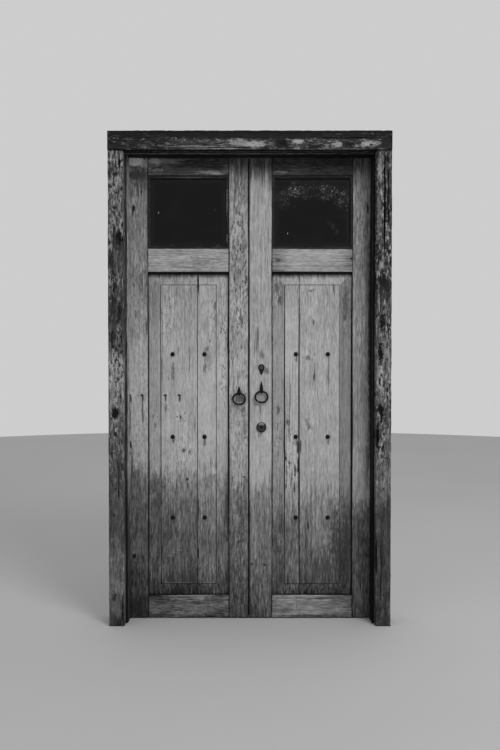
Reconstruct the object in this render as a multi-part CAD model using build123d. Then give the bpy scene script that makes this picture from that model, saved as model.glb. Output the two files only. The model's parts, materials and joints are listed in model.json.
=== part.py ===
from build123d import *
from dataclasses import dataclass
import os

# A double-leaf panelled street door in its own timber frame, with its hardware.
# +X is to the right seen from the street, -Y points out to the street, +Z is up.
# The origin is on the floor, in the middle of the doorway, in the plane of the leaves' outer faces.
# All sizes are in millimetres.

# Doorway, frame and surround
doorway_width = 1098.0              # clear width between the stops
doorway_height = 2105.0             # floor to the underside of the head's stop
reveal_depth = 100.0                # surround's front face to the leaves' outer faces
surround_thickness = 38.0
surround_post_face = 70.0           # face width of the side planks
surround_head_face = 88.0           # face height of the head plank
surround_step = 10.0                # the stop shows this far inside the side planks
surround_head_step = 7.0            # and this far below the head plank
surround_arris = 3.0                # worn front edges
rebate_width = 15.0                 # the leaves' rebate is cut this far back from the stop
rebate_height = 14.0
stop_clearance = 1.0                # between a closed leaf and its stop
frame_tenon_height = 60.0
frame_tenon_margin = 18.0           # wood left round the posts' tenons

# Leaves
leaf_thickness = 40.0
leaf_side_gap = 3.0
leaf_top_gap = 4.0
leaf_floor_gap = 5.0
meeting_gap = 4.0
meeting_offset = -4.6               # the meeting line is this far from the middle of the doorway
left_lock_stile = 88.8
left_hinge_stile = 96.0
right_lock_stile = 103.6
right_hinge_stile = 92.6
top_rail_height = 90.0
glass_height = 330.0
middle_rail_height = 107.0
bottom_rail_height = 104.0
tenon_length = 60.0
tenon_thickness = 12.0
tenon_setback = 9.0                 # stile face to the tenon
tenon_margin = 15.0                 # shoulder above and below each tenon
joinery_clearance = 0.2
mortise_end_gap = 2.0

# Raised-and-fielded panels
groove_depth = 12.0
groove_clearance = 0.2
panel_setback = 14.0                # stile face to the front of the panel's tongue
panel_tongue_thickness = 8.0
panel_tongue_length = 10.0
field_setback = 3.0                 # stile face to the field
field_shoulder = 2.5                # small step at the edge of the field
bevel_width = 58.0
bevel_width_bottom = 51.0
left_inner_board = 143.8            # opening edge at the lock stile to the open joint
right_inner_board = 125.4
board_gap = 1.2
board_tongue_length = 6.0
board_tongue_thickness = 4.6
batten_heights = (465.0, 836.0, 1214.0)
batten_width = 75.0
batten_thickness = 20.0
batten_end_gap = 3.0
batten_arris = 3.0

# Domed nails of the panels
left_nail_inset = 32.0              # open joint to the nails of the inner board
right_nail_inset = 16.0
outer_nail_inset = 112.0            # hinge stile to the nails of the outer board
nail_head_radius = 10.0
nail_head_rise = 6.0
nail_shank_radius = 2.5
nail_length = 34.0
nail_point = 6.0
nail_clearance = 0.1

# Glazing
glass_thickness = 3.0
glass_edge_gap = 0.8
bead_setback = 4.0
bead_width = 12.0
bead_depth = 12.0
bead_chamfer = 5.0

# Nails that hold the surround
surround_nail_radius = 2.0
surround_nail_head_radius = 4.0
surround_nail_head = 1.5
surround_nail_length = 63.0
surround_nail_foot_distance = 140.0
surround_nail_top_distance = 72.0   # head plank to the highest nail of a side plank
surround_nail_end_distance = 69.0   # end of the head plank to its outermost nails
surround_nail_count = 5             # in each plank

# Wood screws
screw_radius = 2.0
screw_head_radius = 4.0
screw_head_depth = 2.0
screw_length = 20.0
screw_slot_width = 1.0
screw_slot_depth = 0.7
screw_clearance = 0.1
plate_thickness = 2.5

# Hinges on the inner faces
hinge_length = 90.0
hinge_end_distance = 245.0          # end of the leaf to the middle of its outer hinges
knuckle_radius = 5.0
knuckle_count = 5
knuckle_gap = 0.3
pin_radius = 2.5
pin_clearance = 0.05
pin_cap_radius = 4.0
pin_cap_height = 2.0
pin_proud = 5.5                     # pin axis behind the leaves' inner faces
flap_width = 34.0
flap_screw_distance = 21.0
flap_screw_spacing = 32.0
flap_turning_gap = 0.7              # round the other flap's knuckles

# Ring pulls
left_ring_inset = 42.7              # meeting edge to the middle of the ring
right_ring_inset = 55.6
left_ring_height = 1010.0
right_ring_height = 1019.0
ring_width = 65.0
ring_drop = 57.5
ring_wire_radius = 4.4
ring_standoff = 11.0                # leaf face to the middle of the wire
eye_hole_radius = 5.1
eye_wire_radius = 2.2
ring_rest_gap = 0.3
left_plate_height = 34.0            # eye to the plate's point
right_plate_height = 49.0
plate_half_width = 9.0
ring_plate_thickness = 3.0
ring_shank_radius = 3.5
ring_shank_length = 34.0

# Keyhole, its cover and the rim lock
lock_inset = 55.6                   # right meeting edge to the keyhole and the cylinder
cover_rise = 135.0                  # middle of the right ring to the cover's pivot
cover_radius = 14.5
cover_tail_drop = 30.0
cover_tail_radius = 4.0
cover_thickness = 2.5
cover_gap = 0.3
rivet_radius = 2.0
rivet_head_radius = 4.5
rivet_head_rise = 2.0
rivet_length = 28.0
rivet_clearance = 0.3
keyhole_drop = 20.0                 # cover's pivot to the round part of the keyhole
keyhole_radius = 2.8
keyhole_slot_width = 3.0
keyhole_slot_drop = 9.0
lock_case_width = 95.0
lock_case_height = 110.0
lock_case_depth = 21.0
lock_case_rise = 12.0               # keyhole to the middle of the case
case_wall = 2.5
case_ear = 13.0
case_ear_screw_inset = 14.0
lock_bolt_rise = 30.0               # keyhole to the middle of the bolt
lock_bolt_height = 20.0
lock_bolt_thickness = 12.0
lock_bolt_length = 66.0
lock_bolt_setback = 5.0             # leaf's inner face to the bolt
bolt_clearance = 0.3

# Lock cylinder and night latch
cylinder_drop = 139.0               # middle of the right ring to the cylinder's axis
collar_radius = 23.0
collar_depth = 7.0
collar_round = 3.0
cylinder_radius = 15.0
cylinder_proud = 5.5
cylinder_clearance = 0.3
cylinder_end_gap = 1.0
plug_radius = 7.0
plug_clearance = 0.08
plug_proud = 6.2
keyway_width = 2.4
keyway_height = 9.0
keyway_depth = 20.0
tail_bar_width = 8.0
tail_bar_thickness = 2.0
tail_bar_length = 14.0
latch_case_width = 90.0
latch_case_height = 66.0
latch_case_depth = 26.0
latch_bolt_height = 18.0
latch_bolt_thickness = 14.0
latch_bolt_length = 38.0
latch_bolt_setback = 6.0
latch_bevel = 9.0
knob_radius = 13.0
knob_depth = 20.0
knob_grip_width = 10.0
knob_grip_depth = 12.0
knob_spindle_radius = 5.0
knob_spindle_length = 9.0
knob_gap = 0.5

# Keepers on the left leaf
keeper_wall = 3.5
keeper_depth_x = 30.0
keeper_clearance = 1.0
keeper_socket_depth = 24.0
keeper_ear = 13.0

# Barrel bolts on the left leaf
barrel_inset = 44.4                 # left meeting edge to the bolts' axes
barrel_plate_width = 30.0
barrel_plate_length = 150.0
barrel_end_distance = 8.0           # end of the leaf to the plate
barrel_bolt_radius = 5.0
barrel_bolt_proud = 9.0             # leaf's inner face to the bolt's axis
barrel_guide_length = 10.0
barrel_guide_wall = 3.5
barrel_end_guide_inset = 6.0
barrel_knob_bay = 50.0              # between the guides on both sides of the knob
barrel_knob_radius = 4.4
barrel_knob_length = 14.0
barrel_knob_gap = 2.0
barrel_bolt_tip_inset = 7.0         # retracted tip to the end of the leaf
barrel_screw_inset = 27.0
top_keeper_rise = 5.0               # rebate to the keeper on the head
top_keeper_height = 18.0
top_keeper_wall = 4.0
top_keeper_clearance = 1.2

# Wall fixings through the posts, hidden behind the closed leaves
fixing_hole_radius = 5.0
lower_fixing_heights = (420.0, 760.0)
upper_fixing_heights = (1280.0, 1620.0)

# Places that follow from the sizes above
stop_half = doorway_width / 2
surround_half = stop_half + surround_step
outer_half = surround_half + surround_post_face
cheek_half = stop_half + rebate_width
surround_underside = doorway_height + surround_head_step
frame_top = surround_underside + surround_head_face
rebate_top = doorway_height + rebate_height
surround_front = -reveal_depth
frame_front = surround_front + surround_thickness
stop_back = -stop_clearance
inner_face = leaf_thickness
leaf_edge = cheek_half - leaf_side_gap
leaf_top = rebate_top - leaf_top_gap
leaf_bottom = leaf_floor_gap
glass_top = leaf_top - top_rail_height
glass_bottom = glass_top - glass_height
panel_top = glass_bottom - middle_rail_height
panel_bottom = leaf_bottom + bottom_rail_height
panel_back = panel_setback + panel_tongue_thickness
tenon_back = tenon_setback + tenon_thickness
plate_face = inner_face + plate_thickness
pin_x = cheek_half - leaf_side_gap / 2
pin_y = inner_face + pin_proud
hinge_heights = (
    leaf_bottom + hinge_end_distance,
    (leaf_bottom + leaf_top) / 2,
    leaf_top - hinge_end_distance,
)
cover_pivot_height = right_ring_height + cover_rise
cylinder_height = right_ring_height - cylinder_drop
keyhole_height = cover_pivot_height - keyhole_drop
lock_bolt_middle = keyhole_height + lock_bolt_rise
lock_bolt_front = inner_face + lock_bolt_setback
latch_bolt_front = inner_face + latch_bolt_setback
far = 4 * leaf_thickness            # longer than any cut through a leaf


@dataclass(frozen=True)
class Leaf:
    """Sizes of one leaf, measured from the middle of the doorway towards its own side."""
    name: str
    side: int
    meeting: float
    lock_stile: float
    hinge_stile: float
    inner_board: float
    nail_inset: float
    ring_inset: float
    ring_height: float
    plate_height: float

    @property
    def inner(self):
        """Edge of the openings at the lock stile."""
        return self.meeting + self.lock_stile

    @property
    def outer(self):
        """Edge of the openings at the hinge stile."""
        return leaf_edge - self.hinge_stile

    def place(self, shape):
        """A piece modelled on the right side, put on the leaf's own side."""
        if self.side > 0:
            return shape
        return mirror(shape, about=Plane.YZ)


left = Leaf("left", -1, -meeting_offset + meeting_gap / 2, left_lock_stile, left_hinge_stile,
            left_inner_board, left_nail_inset, left_ring_inset, left_ring_height, left_plate_height)
right = Leaf("right", 1, meeting_offset + meeting_gap / 2, right_lock_stile, right_hinge_stile,
             right_inner_board, right_nail_inset, right_ring_inset, right_ring_height, right_plate_height)
lock_x = right.meeting + lock_inset
barrel_x = left.meeting + barrel_inset


# Basic shapes

def block(x0, x1, y0, y1, z0, z1):
    """A box between its limits along each axis."""
    return Pos((x0 + x1) / 2, (y0 + y1) / 2, (z0 + z1) / 2) * Box(x1 - x0, y1 - y0, z1 - z0)


def rod_x(radius, x0, x1, y, z):
    """A round bar along X."""
    return Pos((x0 + x1) / 2, y, z) * Rot(0, 90, 0) * Cylinder(radius, x1 - x0)


def rod_y(radius, x, y0, y1, z):
    """A round bar along Y."""
    return Pos(x, (y0 + y1) / 2, z) * Rot(90, 0, 0) * Cylinder(radius, y1 - y0)


def rod_z(radius, x, y, z0, z1):
    """A round bar along Z."""
    return Pos(x, y, (z0 + z1) / 2) * Cylinder(radius, z1 - z0)


def prism(points, y0, y1):
    """An outline of X and Z points, extruded from y0 to y1."""
    return extrude(Plane.XZ.offset(-y1) * Polygon(*points, align=None), y1 - y0)


def pyramid(x0, x1, z0, z1, y_wide, inset_x, inset_low, inset_high, y_narrow):
    """A rectangle at y_wide that tapers to a smaller one at y_narrow."""
    def face(xa, xb, za, zb, y):
        plane = Plane(origin=((xa + xb) / 2, y, (za + zb) / 2), x_dir=(1, 0, 0), z_dir=(0, -1, 0))
        return plane * Rectangle(xb - xa, zb - za)
    wide = face(x0, x1, z0, z1, y_wide)
    narrow = face(x0 + inset_x, x1 - inset_x, z0 + inset_low, z1 - inset_high, y_narrow)
    return loft([wide, narrow], ruled=True)


# Fasteners, driven from the inner faces towards the street

def screw(x, z):
    """A slotted countersunk screw whose head is level with a plate's face."""
    bottom_up = (Align.CENTER, Align.CENTER, Align.MIN)
    head = Cone(screw_head_radius, screw_radius, screw_head_depth, align=bottom_up)
    shank = Cylinder(screw_radius, screw_length, align=bottom_up)
    slot = Box(2 * screw_head_radius, screw_slot_width, screw_slot_depth, align=bottom_up)
    return Pos(x, plate_face, z) * Rot(90, 0, 0) * (head + shank - slot)


def screw_pilot(x, z):
    """The hole of a screw in the wood."""
    tip = plate_face - screw_length - screw_clearance
    return rod_y(screw_radius + screw_clearance, x, tip, inner_face, z)


def screw_seat(x, z):
    """The countersunk hole of a screw in a plate."""
    bottom_up = (Align.CENTER, Align.CENTER, Align.MIN)
    cone = Cone(screw_head_radius + screw_clearance, screw_radius + screw_clearance,
                screw_head_depth, align=bottom_up)
    return (Pos(x, plate_face, z) * Rot(90, 0, 0) * cone
            + rod_y(screw_radius + screw_clearance, x, inner_face, plate_face, z))


def spread(first, last, count):
    """Evenly spaced values from the first to the last."""
    return [first + (last - first) * index / (count - 1) for index in range(count)]


def cut_all(body, cutters):
    """The body without each of the cutters."""
    for cutter in cutters:
        body -= cutter
    return body


# Surround and frame

def surround_head():
    """The head plank, which runs over both side planks."""
    plank = block(-outer_half, outer_half, surround_front, frame_front, surround_underside, frame_top)
    front_edges = plank.edges().filter_by(Axis.X).sort_by(Axis.Y)[:2]
    plank = chamfer(front_edges, surround_arris)
    return cut_all(plank, [surround_nail_hole(x, z) for x, z in head_nail_places()])


def surround_post(side):
    """A side plank, from the floor to the head plank."""
    plank = block(surround_half, outer_half, surround_front, frame_front, 0, surround_underside)
    front_edges = plank.edges().filter_by(Axis.Z).sort_by(Axis.Y)[:2]
    plank = chamfer(front_edges, surround_arris)
    plank = plank if side > 0 else mirror(plank, about=Plane.YZ)
    return cut_all(plank, [surround_nail_hole(x, z) for x, z in post_nail_places(side)])


def post_nail_places(side):
    """X and Z of the nails of one side plank."""
    x = side * (surround_half + outer_half) / 2
    highest = surround_underside - surround_nail_top_distance
    return [(x, z) for z in spread(surround_nail_foot_distance, highest, surround_nail_count)]


def head_nail_places():
    """X and Z of the nails of the head plank."""
    z = (surround_underside + frame_top) / 2
    reach = outer_half - surround_nail_end_distance
    return [(x, z) for x in spread(-reach, reach, surround_nail_count)]


def surround_nail(x, z):
    """A flat-headed nail, level with the surround's face."""
    head_back = surround_front + surround_nail_head
    tip = surround_front + surround_nail_length
    return (rod_y(surround_nail_head_radius, x, surround_front, head_back, z)
            + rod_y(surround_nail_radius, x, head_back, tip, z))


def surround_nail_hole(x, z):
    """The room of such a nail in the planks and in the frame."""
    head_back = surround_front + surround_nail_head
    tip = surround_front + surround_nail_length + nail_clearance
    return (rod_y(surround_nail_head_radius + nail_clearance, x, surround_front, head_back, z)
            + rod_y(surround_nail_radius + nail_clearance, x, surround_front, tip, z))


def post_tenon(grow):
    """The tenon on top of a post, grown by a clearance for its mortise."""
    return block(stop_half + frame_tenon_margin - grow, outer_half - frame_tenon_margin + grow,
                 frame_front + frame_tenon_margin - grow, stop_back - frame_tenon_margin + grow,
                 doorway_height, doorway_height + frame_tenon_height + grow)


def frame_head():
    """The head, rebated on the inside for the leaves."""
    head = block(-outer_half, outer_half, frame_front, inner_face, doorway_height, frame_top)
    head -= block(-outer_half, outer_half, stop_back, inner_face, doorway_height, rebate_top)
    mortise = post_tenon(joinery_clearance)
    head -= mortise
    head -= mirror(mortise, about=Plane.YZ)
    head = cut_all(head, [surround_nail_hole(x, z) for x, z in head_nail_places()])
    return cut_all(head, [screw_pilot(x, z) for x, z in top_keeper_screws()])


def frame_post(side):
    """A post, rebated on the inside, with its tenon and the holes of the wall fixings."""
    post = block(stop_half, outer_half, frame_front, stop_back, 0, doorway_height)
    post += block(cheek_half, outer_half, stop_back, inner_face, 0, rebate_top)
    post += post_tenon(0)
    for z in lower_fixing_heights + upper_fixing_heights:
        post -= rod_x(fixing_hole_radius, stop_half, outer_half + 1, leaf_thickness / 2, z)
    post = cut_all(post, [screw_pilot(x, z) for x, z in flap_screws(1)])
    post = post if side > 0 else mirror(post, about=Plane.YZ)
    return cut_all(post, [surround_nail_hole(x, z) for x, z in post_nail_places(side)])


# Hinges

def flap_screws(direction):
    """Screws of the three flaps on one side of the pins: 1 for the post, -1 for the leaf."""
    x = pin_x + direction * flap_screw_distance
    return [(x, z + step * flap_screw_spacing) for z in hinge_heights for step in (-1, 0, 1)]


def knuckle_span(index, middle):
    """Lowest and highest point of one knuckle's share of the hinge."""
    pitch = hinge_length / knuckle_count
    low = middle - hinge_length / 2 + index * pitch
    return low, low + pitch


def hinge_flap(direction, middle):
    """One flap with its knuckles: 1 on the post, which has the end knuckles, -1 on the leaf."""
    far_x = pin_x + direction * flap_width
    low_x, high_x = min(pin_x, far_x), max(pin_x, far_x)
    half_length = (hinge_length - knuckle_gap) / 2
    flap = block(low_x, high_x, inner_face, plate_face, middle - half_length, middle + half_length)
    reach = pin_proud + flap_turning_gap
    for index in range(knuckle_count):
        low, high = knuckle_span(index, middle)
        own = (index % 2 == 0) == (direction > 0)
        if own:
            flap += rod_z(knuckle_radius, pin_x, pin_y, low + knuckle_gap / 2, high - knuckle_gap / 2)
        else:
            flap -= block(pin_x - reach, pin_x + reach, inner_face - 1, pin_y,
                          low - knuckle_gap / 2, high + knuckle_gap / 2)
    flap -= rod_z(pin_radius + pin_clearance, pin_x, pin_y, middle - hinge_length, middle + hinge_length)
    seats = [screw_seat(pin_x + direction * flap_screw_distance, middle + step * flap_screw_spacing)
             for step in (-1, 0, 1)]
    return cut_all(flap, seats)


def hinge_pin(middle):
    """A hinge pin, held up by its cap on the top knuckle."""
    low, high = middle - hinge_length / 2, middle + hinge_length / 2 - knuckle_gap / 2
    return (rod_z(pin_radius, pin_x, pin_y, low, high)
            + rod_z(pin_cap_radius, pin_x, pin_y, high, high + pin_cap_height))


# Joinery of a leaf

def rail_levels():
    """Lowest and highest point of the bottom, middle and top rail."""
    return ((leaf_bottom, panel_bottom), (panel_top, glass_bottom), (glass_top, leaf_top))


def panel_groove(x0, x1, z0, z1):
    """Room for the panel's tongue."""
    return block(x0, x1, panel_setback - groove_clearance, panel_back + groove_clearance, z0, z1)


def rail(leaf, low, high):
    """A rail with a tenon at each end, and a groove where it borders the panel."""
    body = block(leaf.inner, leaf.outer, 0, leaf_thickness, low, high)
    body += block(leaf.inner - tenon_length, leaf.outer + tenon_length, tenon_setback, tenon_back,
                  low + tenon_margin, high - tenon_margin)
    if high == panel_bottom:
        body -= panel_groove(leaf.inner, leaf.outer, high - groove_depth, high)
    if low == panel_top:
        body -= panel_groove(leaf.inner, leaf.outer, low, low + groove_depth)
    return body


def stile(x0, x1, opening_x):
    """A stile between x0 and x1, mortised and grooved in its edge at the openings."""
    body = block(x0, x1, 0, leaf_thickness, leaf_bottom, leaf_top)
    into = 1 if opening_x == x0 else -1

    def span(depth):
        return min(opening_x, opening_x + into * depth), max(opening_x, opening_x + into * depth)
    groove_x0, groove_x1 = span(groove_depth)
    body -= panel_groove(groove_x0, groove_x1, panel_bottom - groove_depth, panel_top + groove_depth)
    mortise_x0, mortise_x1 = span(tenon_length + mortise_end_gap)
    for low, high in rail_levels():
        body -= block(mortise_x0, mortise_x1,
                      tenon_setback - joinery_clearance, tenon_back + joinery_clearance,
                      low + tenon_margin - joinery_clearance, high - tenon_margin + joinery_clearance)
    return body


def hinge_stile(leaf):
    """The stile on the hinges, with the holes of their screws."""
    body = stile(leaf.outer, leaf_edge, leaf.outer)
    return cut_all(body, [screw_pilot(x, z) for x, z in flap_screws(-1)])


def lock_stile(leaf):
    """The stile at the meeting line, with the holes of its hardware."""
    body = stile(leaf.meeting, leaf.inner, leaf.inner)
    ring_x = leaf.meeting + leaf.ring_inset
    body -= rod_y(ring_shank_radius + nail_clearance, ring_x, 0, ring_shank_length + nail_clearance,
                  eye_height(leaf))
    if leaf.side < 0:
        places = keeper_screws(lock_bolt_middle, lock_bolt_height)
        places += keeper_screws(cylinder_height, latch_bolt_height) + barrel_screws()
        return cut_all(body, [screw_pilot(x, z) for x, z in places])
    body -= keyhole(0, inner_face)
    body -= rod_y(rivet_radius + nail_clearance, lock_x, 0, rivet_length, cover_pivot_height)
    body -= rod_y(cylinder_radius + cylinder_clearance, lock_x, 0, inner_face, cylinder_height)
    places = case_screws(lock_case_middle(), lock_case_height, lock_case_width)
    places += case_screws(cylinder_height, latch_case_height, latch_case_width)
    return cut_all(body, [screw_pilot(x, z) for x, z in places])


# Raised-and-fielded panel of two boards

def raised_panel(leaf):
    """The panel before it is parted: tongue all round, bevel, small shoulder and field."""
    x0, x1 = leaf.inner, leaf.outer
    tongue = panel_tongue_length
    body = block(x0 - tongue, x1 + tongue, panel_setback, panel_back,
                 panel_bottom - tongue, panel_top + tongue)
    shoulder_y = field_setback + field_shoulder
    body += pyramid(x0, x1, panel_bottom, panel_top, panel_setback,
                    bevel_width, bevel_width_bottom, bevel_width, shoulder_y)
    body += block(x0 + bevel_width, x1 - bevel_width, field_setback, shoulder_y,
                  panel_bottom + bevel_width_bottom, panel_top - bevel_width)
    return body


def board_limits(leaf):
    """X of the open joint's two edges."""
    middle = leaf.inner + leaf.inner_board
    return middle - board_gap / 2, middle + board_gap / 2


def nail_places(leaf):
    """X and Z of the domed nails of a leaf."""
    columns = (leaf.inner + leaf.inner_board - leaf.nail_inset, leaf.outer - outer_nail_inset)
    return [(x, z) for x in columns for z in batten_heights]


def nail_hole(x, z):
    """The hole of a domed nail through the board and into the batten."""
    return rod_y(nail_shank_radius + nail_clearance, x, field_setback,
                 field_setback + nail_length + nail_clearance, z)


def panel_boards(leaf):
    """The two boards: the one at the lock stile has the joint's tongue, the other its groove."""
    panel = raised_panel(leaf)
    near, beyond = board_limits(leaf)
    low, high = panel_bottom - far, panel_top + far
    middle_y = (panel_setback + panel_back) / 2
    half = board_tongue_thickness / 2
    tongue_low, tongue_high = panel_bottom - panel_tongue_length, panel_top + panel_tongue_length
    inner_board = panel - block(near, leaf.outer + far, -far, far, low, high)
    inner_board += block(near, near + board_tongue_length, middle_y - half, middle_y + half,
                         tongue_low, tongue_high)
    outer_board = panel - block(leaf.inner - far, beyond, -far, far, low, high)
    outer_board -= block(beyond, beyond + board_tongue_length, middle_y - half - groove_clearance,
                         middle_y + half + groove_clearance, low, high)
    holes = [nail_hole(x, z) for x, z in nail_places(leaf)]
    return cut_all(inner_board, holes), cut_all(outer_board, holes)


def batten(leaf, middle):
    """A batten across the back of the boards."""
    body = block(leaf.inner + batten_end_gap, leaf.outer - batten_end_gap, panel_back,
                 panel_back + batten_thickness, middle - batten_width / 2, middle + batten_width / 2)
    body = chamfer(body.edges().filter_by(Axis.X).sort_by(Axis.Y)[-2:], batten_arris)
    return cut_all(body, [nail_hole(x, z) for x, z in nail_places(leaf) if z == middle])


def domed_nail(x, z):
    """A nail with a domed head on the board and a pointed shank in the batten."""
    bottom_up = (Align.CENTER, Align.CENTER, Align.MIN)
    ball_radius = (nail_head_radius ** 2 + nail_head_rise ** 2) / (2 * nail_head_rise)
    ball = Pos(0, 0, ball_radius - nail_head_rise) * Sphere(ball_radius)
    cap_room = Pos(0, 0, -nail_head_rise) * Cylinder(2 * nail_head_radius, nail_head_rise, align=bottom_up)
    shank = Cylinder(nail_shank_radius, nail_length - nail_point, align=bottom_up)
    point = Pos(0, 0, nail_length - nail_point) * Cone(nail_shank_radius, nail_shank_radius / 4,
                                                       nail_point, align=bottom_up)
    return Pos(x, field_setback, z) * Rot(-90, 0, 0) * ((ball & cap_room) + shank + point)


# Glazing

def glass_front():
    """Y of the pane's outer face."""
    return bead_setback + bead_depth


def glass_pane(leaf):
    """The pane, held between the two sets of beads."""
    return block(leaf.inner + glass_edge_gap, leaf.outer - glass_edge_gap, glass_front(),
                 glass_front() + glass_thickness, glass_bottom + glass_edge_gap, glass_top - glass_edge_gap)


def mitred_beads(leaf, y0, y1, open_y):
    """Four beads round the pane, mitred at the corners and chamfered on the side at open_y."""
    x0, x1, z0, z1, w = leaf.inner, leaf.outer, glass_bottom, glass_top, bead_width
    ring = block(x0, x1, y0, y1, z0, z1) - block(x0 + w, x1 - w, y0, y1, z0 + w, z1 - w)
    chamfer_y = open_y + bead_chamfer if open_y == y0 else open_y - bead_chamfer
    reach = w - bead_chamfer
    ring -= pyramid(x0 + reach, x1 - reach, z0 + reach, z1 - reach, open_y,
                    bead_chamfer, bead_chamfer, bead_chamfer, chamfer_y)
    corners = ((x0, z0), (x1, z0), (x1, z1), (x0, z1))
    inner_corners = ((x0 + w, z0 + w), (x1 - w, z0 + w), (x1 - w, z1 - w), (x0 + w, z1 - w))
    beads = []
    for index in range(4):
        following = (index + 1) % 4
        outline = (corners[index], corners[following], inner_corners[following], inner_corners[index])
        beads += (ring & prism(outline, y0, y1)).solids()
    return beads


def glazing_beads(leaf):
    """The outer and the inner beads of a pane."""
    glass_back = glass_front() + glass_thickness
    outer = mitred_beads(leaf, bead_setback, glass_front(), bead_setback)
    inner = mitred_beads(leaf, glass_back, glass_back + bead_depth, glass_back + bead_depth)
    return outer + inner


# Ring pulls

def wire_height(leaf):
    """Z of the middle of the ring's wire where it lies in the eye."""
    return leaf.ring_height + ring_drop / 2 - ring_wire_radius


def eye_height(leaf):
    """Z of the eye's middle: the wire lies low in the eye's hole."""
    return wire_height(leaf) + eye_hole_radius - ring_wire_radius - ring_rest_gap


def ring_plate(leaf):
    """Spear-shaped plate with an eye in front and a shank in the stile."""
    w, h = plate_half_width, leaf.plate_height
    foot = ThreePointArc((-w, 0), (0, -w), (w, 0))
    flank = ThreePointArc((w, 0), (0.66 * w, 0.55 * h), (0, h))
    other_flank = ThreePointArc((0, h), (-0.66 * w, 0.55 * h), (-w, 0))
    outline = make_face(foot + flank + other_flank)
    x, z = leaf.meeting + leaf.ring_inset, eye_height(leaf)
    plate = Pos(x, 0, z) * extrude(Plane.XZ * outline, ring_plate_thickness)
    eye = Torus(eye_hole_radius + eye_wire_radius, eye_wire_radius)
    eye = Pos(x, -ring_standoff, z) * Rot(0, 90, 0) * eye
    shank = rod_y(ring_shank_radius, x, 0, ring_shank_length, z)
    return plate + eye + shank


def ring_pull(leaf):
    """An oval ring: two half rounds joined by short straight lengths at the top and the bottom."""
    bend = ring_drop / 2 - ring_wire_radius
    half_straight = (ring_width - ring_drop) / 2
    x = leaf.meeting + leaf.ring_inset
    y, z = -ring_standoff, leaf.ring_height
    half_round = Rot(90, 0, 0) * Torus(bend, ring_wire_radius)
    size = ring_width + ring_drop
    right_half = half_round & Pos(size / 2, 0, 0) * Box(size, size, size)
    left_half = half_round & Pos(-size / 2, 0, 0) * Box(size, size, size)
    ring = Pos(x + half_straight, y, z) * right_half + Pos(x - half_straight, y, z) * left_half
    for side in (-1, 1):
        ring += rod_x(ring_wire_radius, x - half_straight, x + half_straight, y, z + side * bend)
    return ring


# Keyhole with its cover, and the rim lock

def keyhole(y0, y1):
    """The keyhole as a cutter: a round hole with a slot below it."""
    half = keyhole_slot_width / 2
    slot_end = keyhole_height - keyhole_slot_drop
    return (rod_y(keyhole_radius, lock_x, y0, y1, keyhole_height)
            + block(lock_x - half, lock_x + half, y0, y1, slot_end, keyhole_height))


def keyhole_cover():
    """Drop-shaped cover that hangs from its rivet."""
    tail = Pos(0, -cover_tail_drop) * Circle(cover_tail_radius)
    outline = make_hull(Circle(cover_radius).edges() + tail.edges())
    outline -= Circle(rivet_radius + rivet_clearance)
    return Pos(lock_x, -cover_gap, cover_pivot_height) * extrude(Plane.XZ * outline, cover_thickness)


def cover_rivet():
    """The rivet of the cover, with a domed head."""
    head_back = -(cover_gap + cover_thickness + cover_gap)
    ball_radius = (rivet_head_radius ** 2 + rivet_head_rise ** 2) / (2 * rivet_head_rise)
    ball = Pos(lock_x, head_back - rivet_head_rise + ball_radius, cover_pivot_height) * Sphere(ball_radius)
    head = ball & rod_y(2 * rivet_head_radius, lock_x, head_back - 2 * rivet_head_rise, head_back,
                        cover_pivot_height)
    return head + rod_y(rivet_radius, lock_x, head_back, rivet_length - nail_clearance, cover_pivot_height)


def lock_case_middle():
    """Z of the middle of the rim lock's case."""
    return keyhole_height + lock_case_rise


def case_screws(middle, height, width):
    """Screws in the ears of a case that starts at the right meeting edge."""
    x0 = right.meeting
    rows = (middle - height / 2 - case_ear / 2, middle + height / 2 + case_ear / 2)
    return [(x, z) for z in rows for x in (x0 + case_ear_screw_inset, x0 + width - case_ear_screw_inset)]


def hollow_case(middle, width, height, depth):
    """A case open towards the leaf, with an ear above and below for its screws."""
    x0, x1 = right.meeting, right.meeting + width
    z0, z1 = middle - height / 2, middle + height / 2
    case = block(x0, x1, inner_face, inner_face + depth, z0, z1)
    round_edges = case.edges().filter_by(Axis.Z).sort_by(Axis.Y)[-1:]
    case = fillet(round_edges, case_wall / 2)
    case -= block(x0 + case_wall, x1 - case_wall, inner_face, inner_face + depth - case_wall,
                  z0 + case_wall, z1 - case_wall)
    for low, high in ((z0 - case_ear, z0), (z1, z1 + case_ear)):
        case += block(x0, x1, inner_face, plate_face, low, high)
    return cut_all(case, [screw_seat(x, z) for x, z in case_screws(middle, height, width)])


def lock_case():
    """The rim lock's case, with its bolt hole and the inner keyhole."""
    case = hollow_case(lock_case_middle(), lock_case_width, lock_case_height, lock_case_depth)
    half = lock_bolt_height / 2 + bolt_clearance
    case -= block(right.meeting, right.meeting + case_wall, lock_bolt_front - bolt_clearance,
                  lock_bolt_front + lock_bolt_thickness + bolt_clearance,
                  lock_bolt_middle - half, lock_bolt_middle + half)
    return case - keyhole(inner_face, inner_face + lock_case_depth)


def lock_bolt():
    """The rim lock's bolt, drawn back level with the meeting edge."""
    half = lock_bolt_height / 2
    return block(right.meeting, right.meeting + lock_bolt_length, lock_bolt_front,
                 lock_bolt_front + lock_bolt_thickness, lock_bolt_middle - half, lock_bolt_middle + half)


# Lock cylinder and night latch

def cylinder_collar():
    """The round collar on the outside."""
    collar = rod_y(collar_radius, lock_x, -collar_depth, 0, cylinder_height)
    collar = fillet(collar.edges().sort_by(Axis.Y)[:1], collar_round)
    return collar - rod_y(cylinder_radius + cylinder_clearance, lock_x, -collar_depth, 0, cylinder_height)


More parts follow.
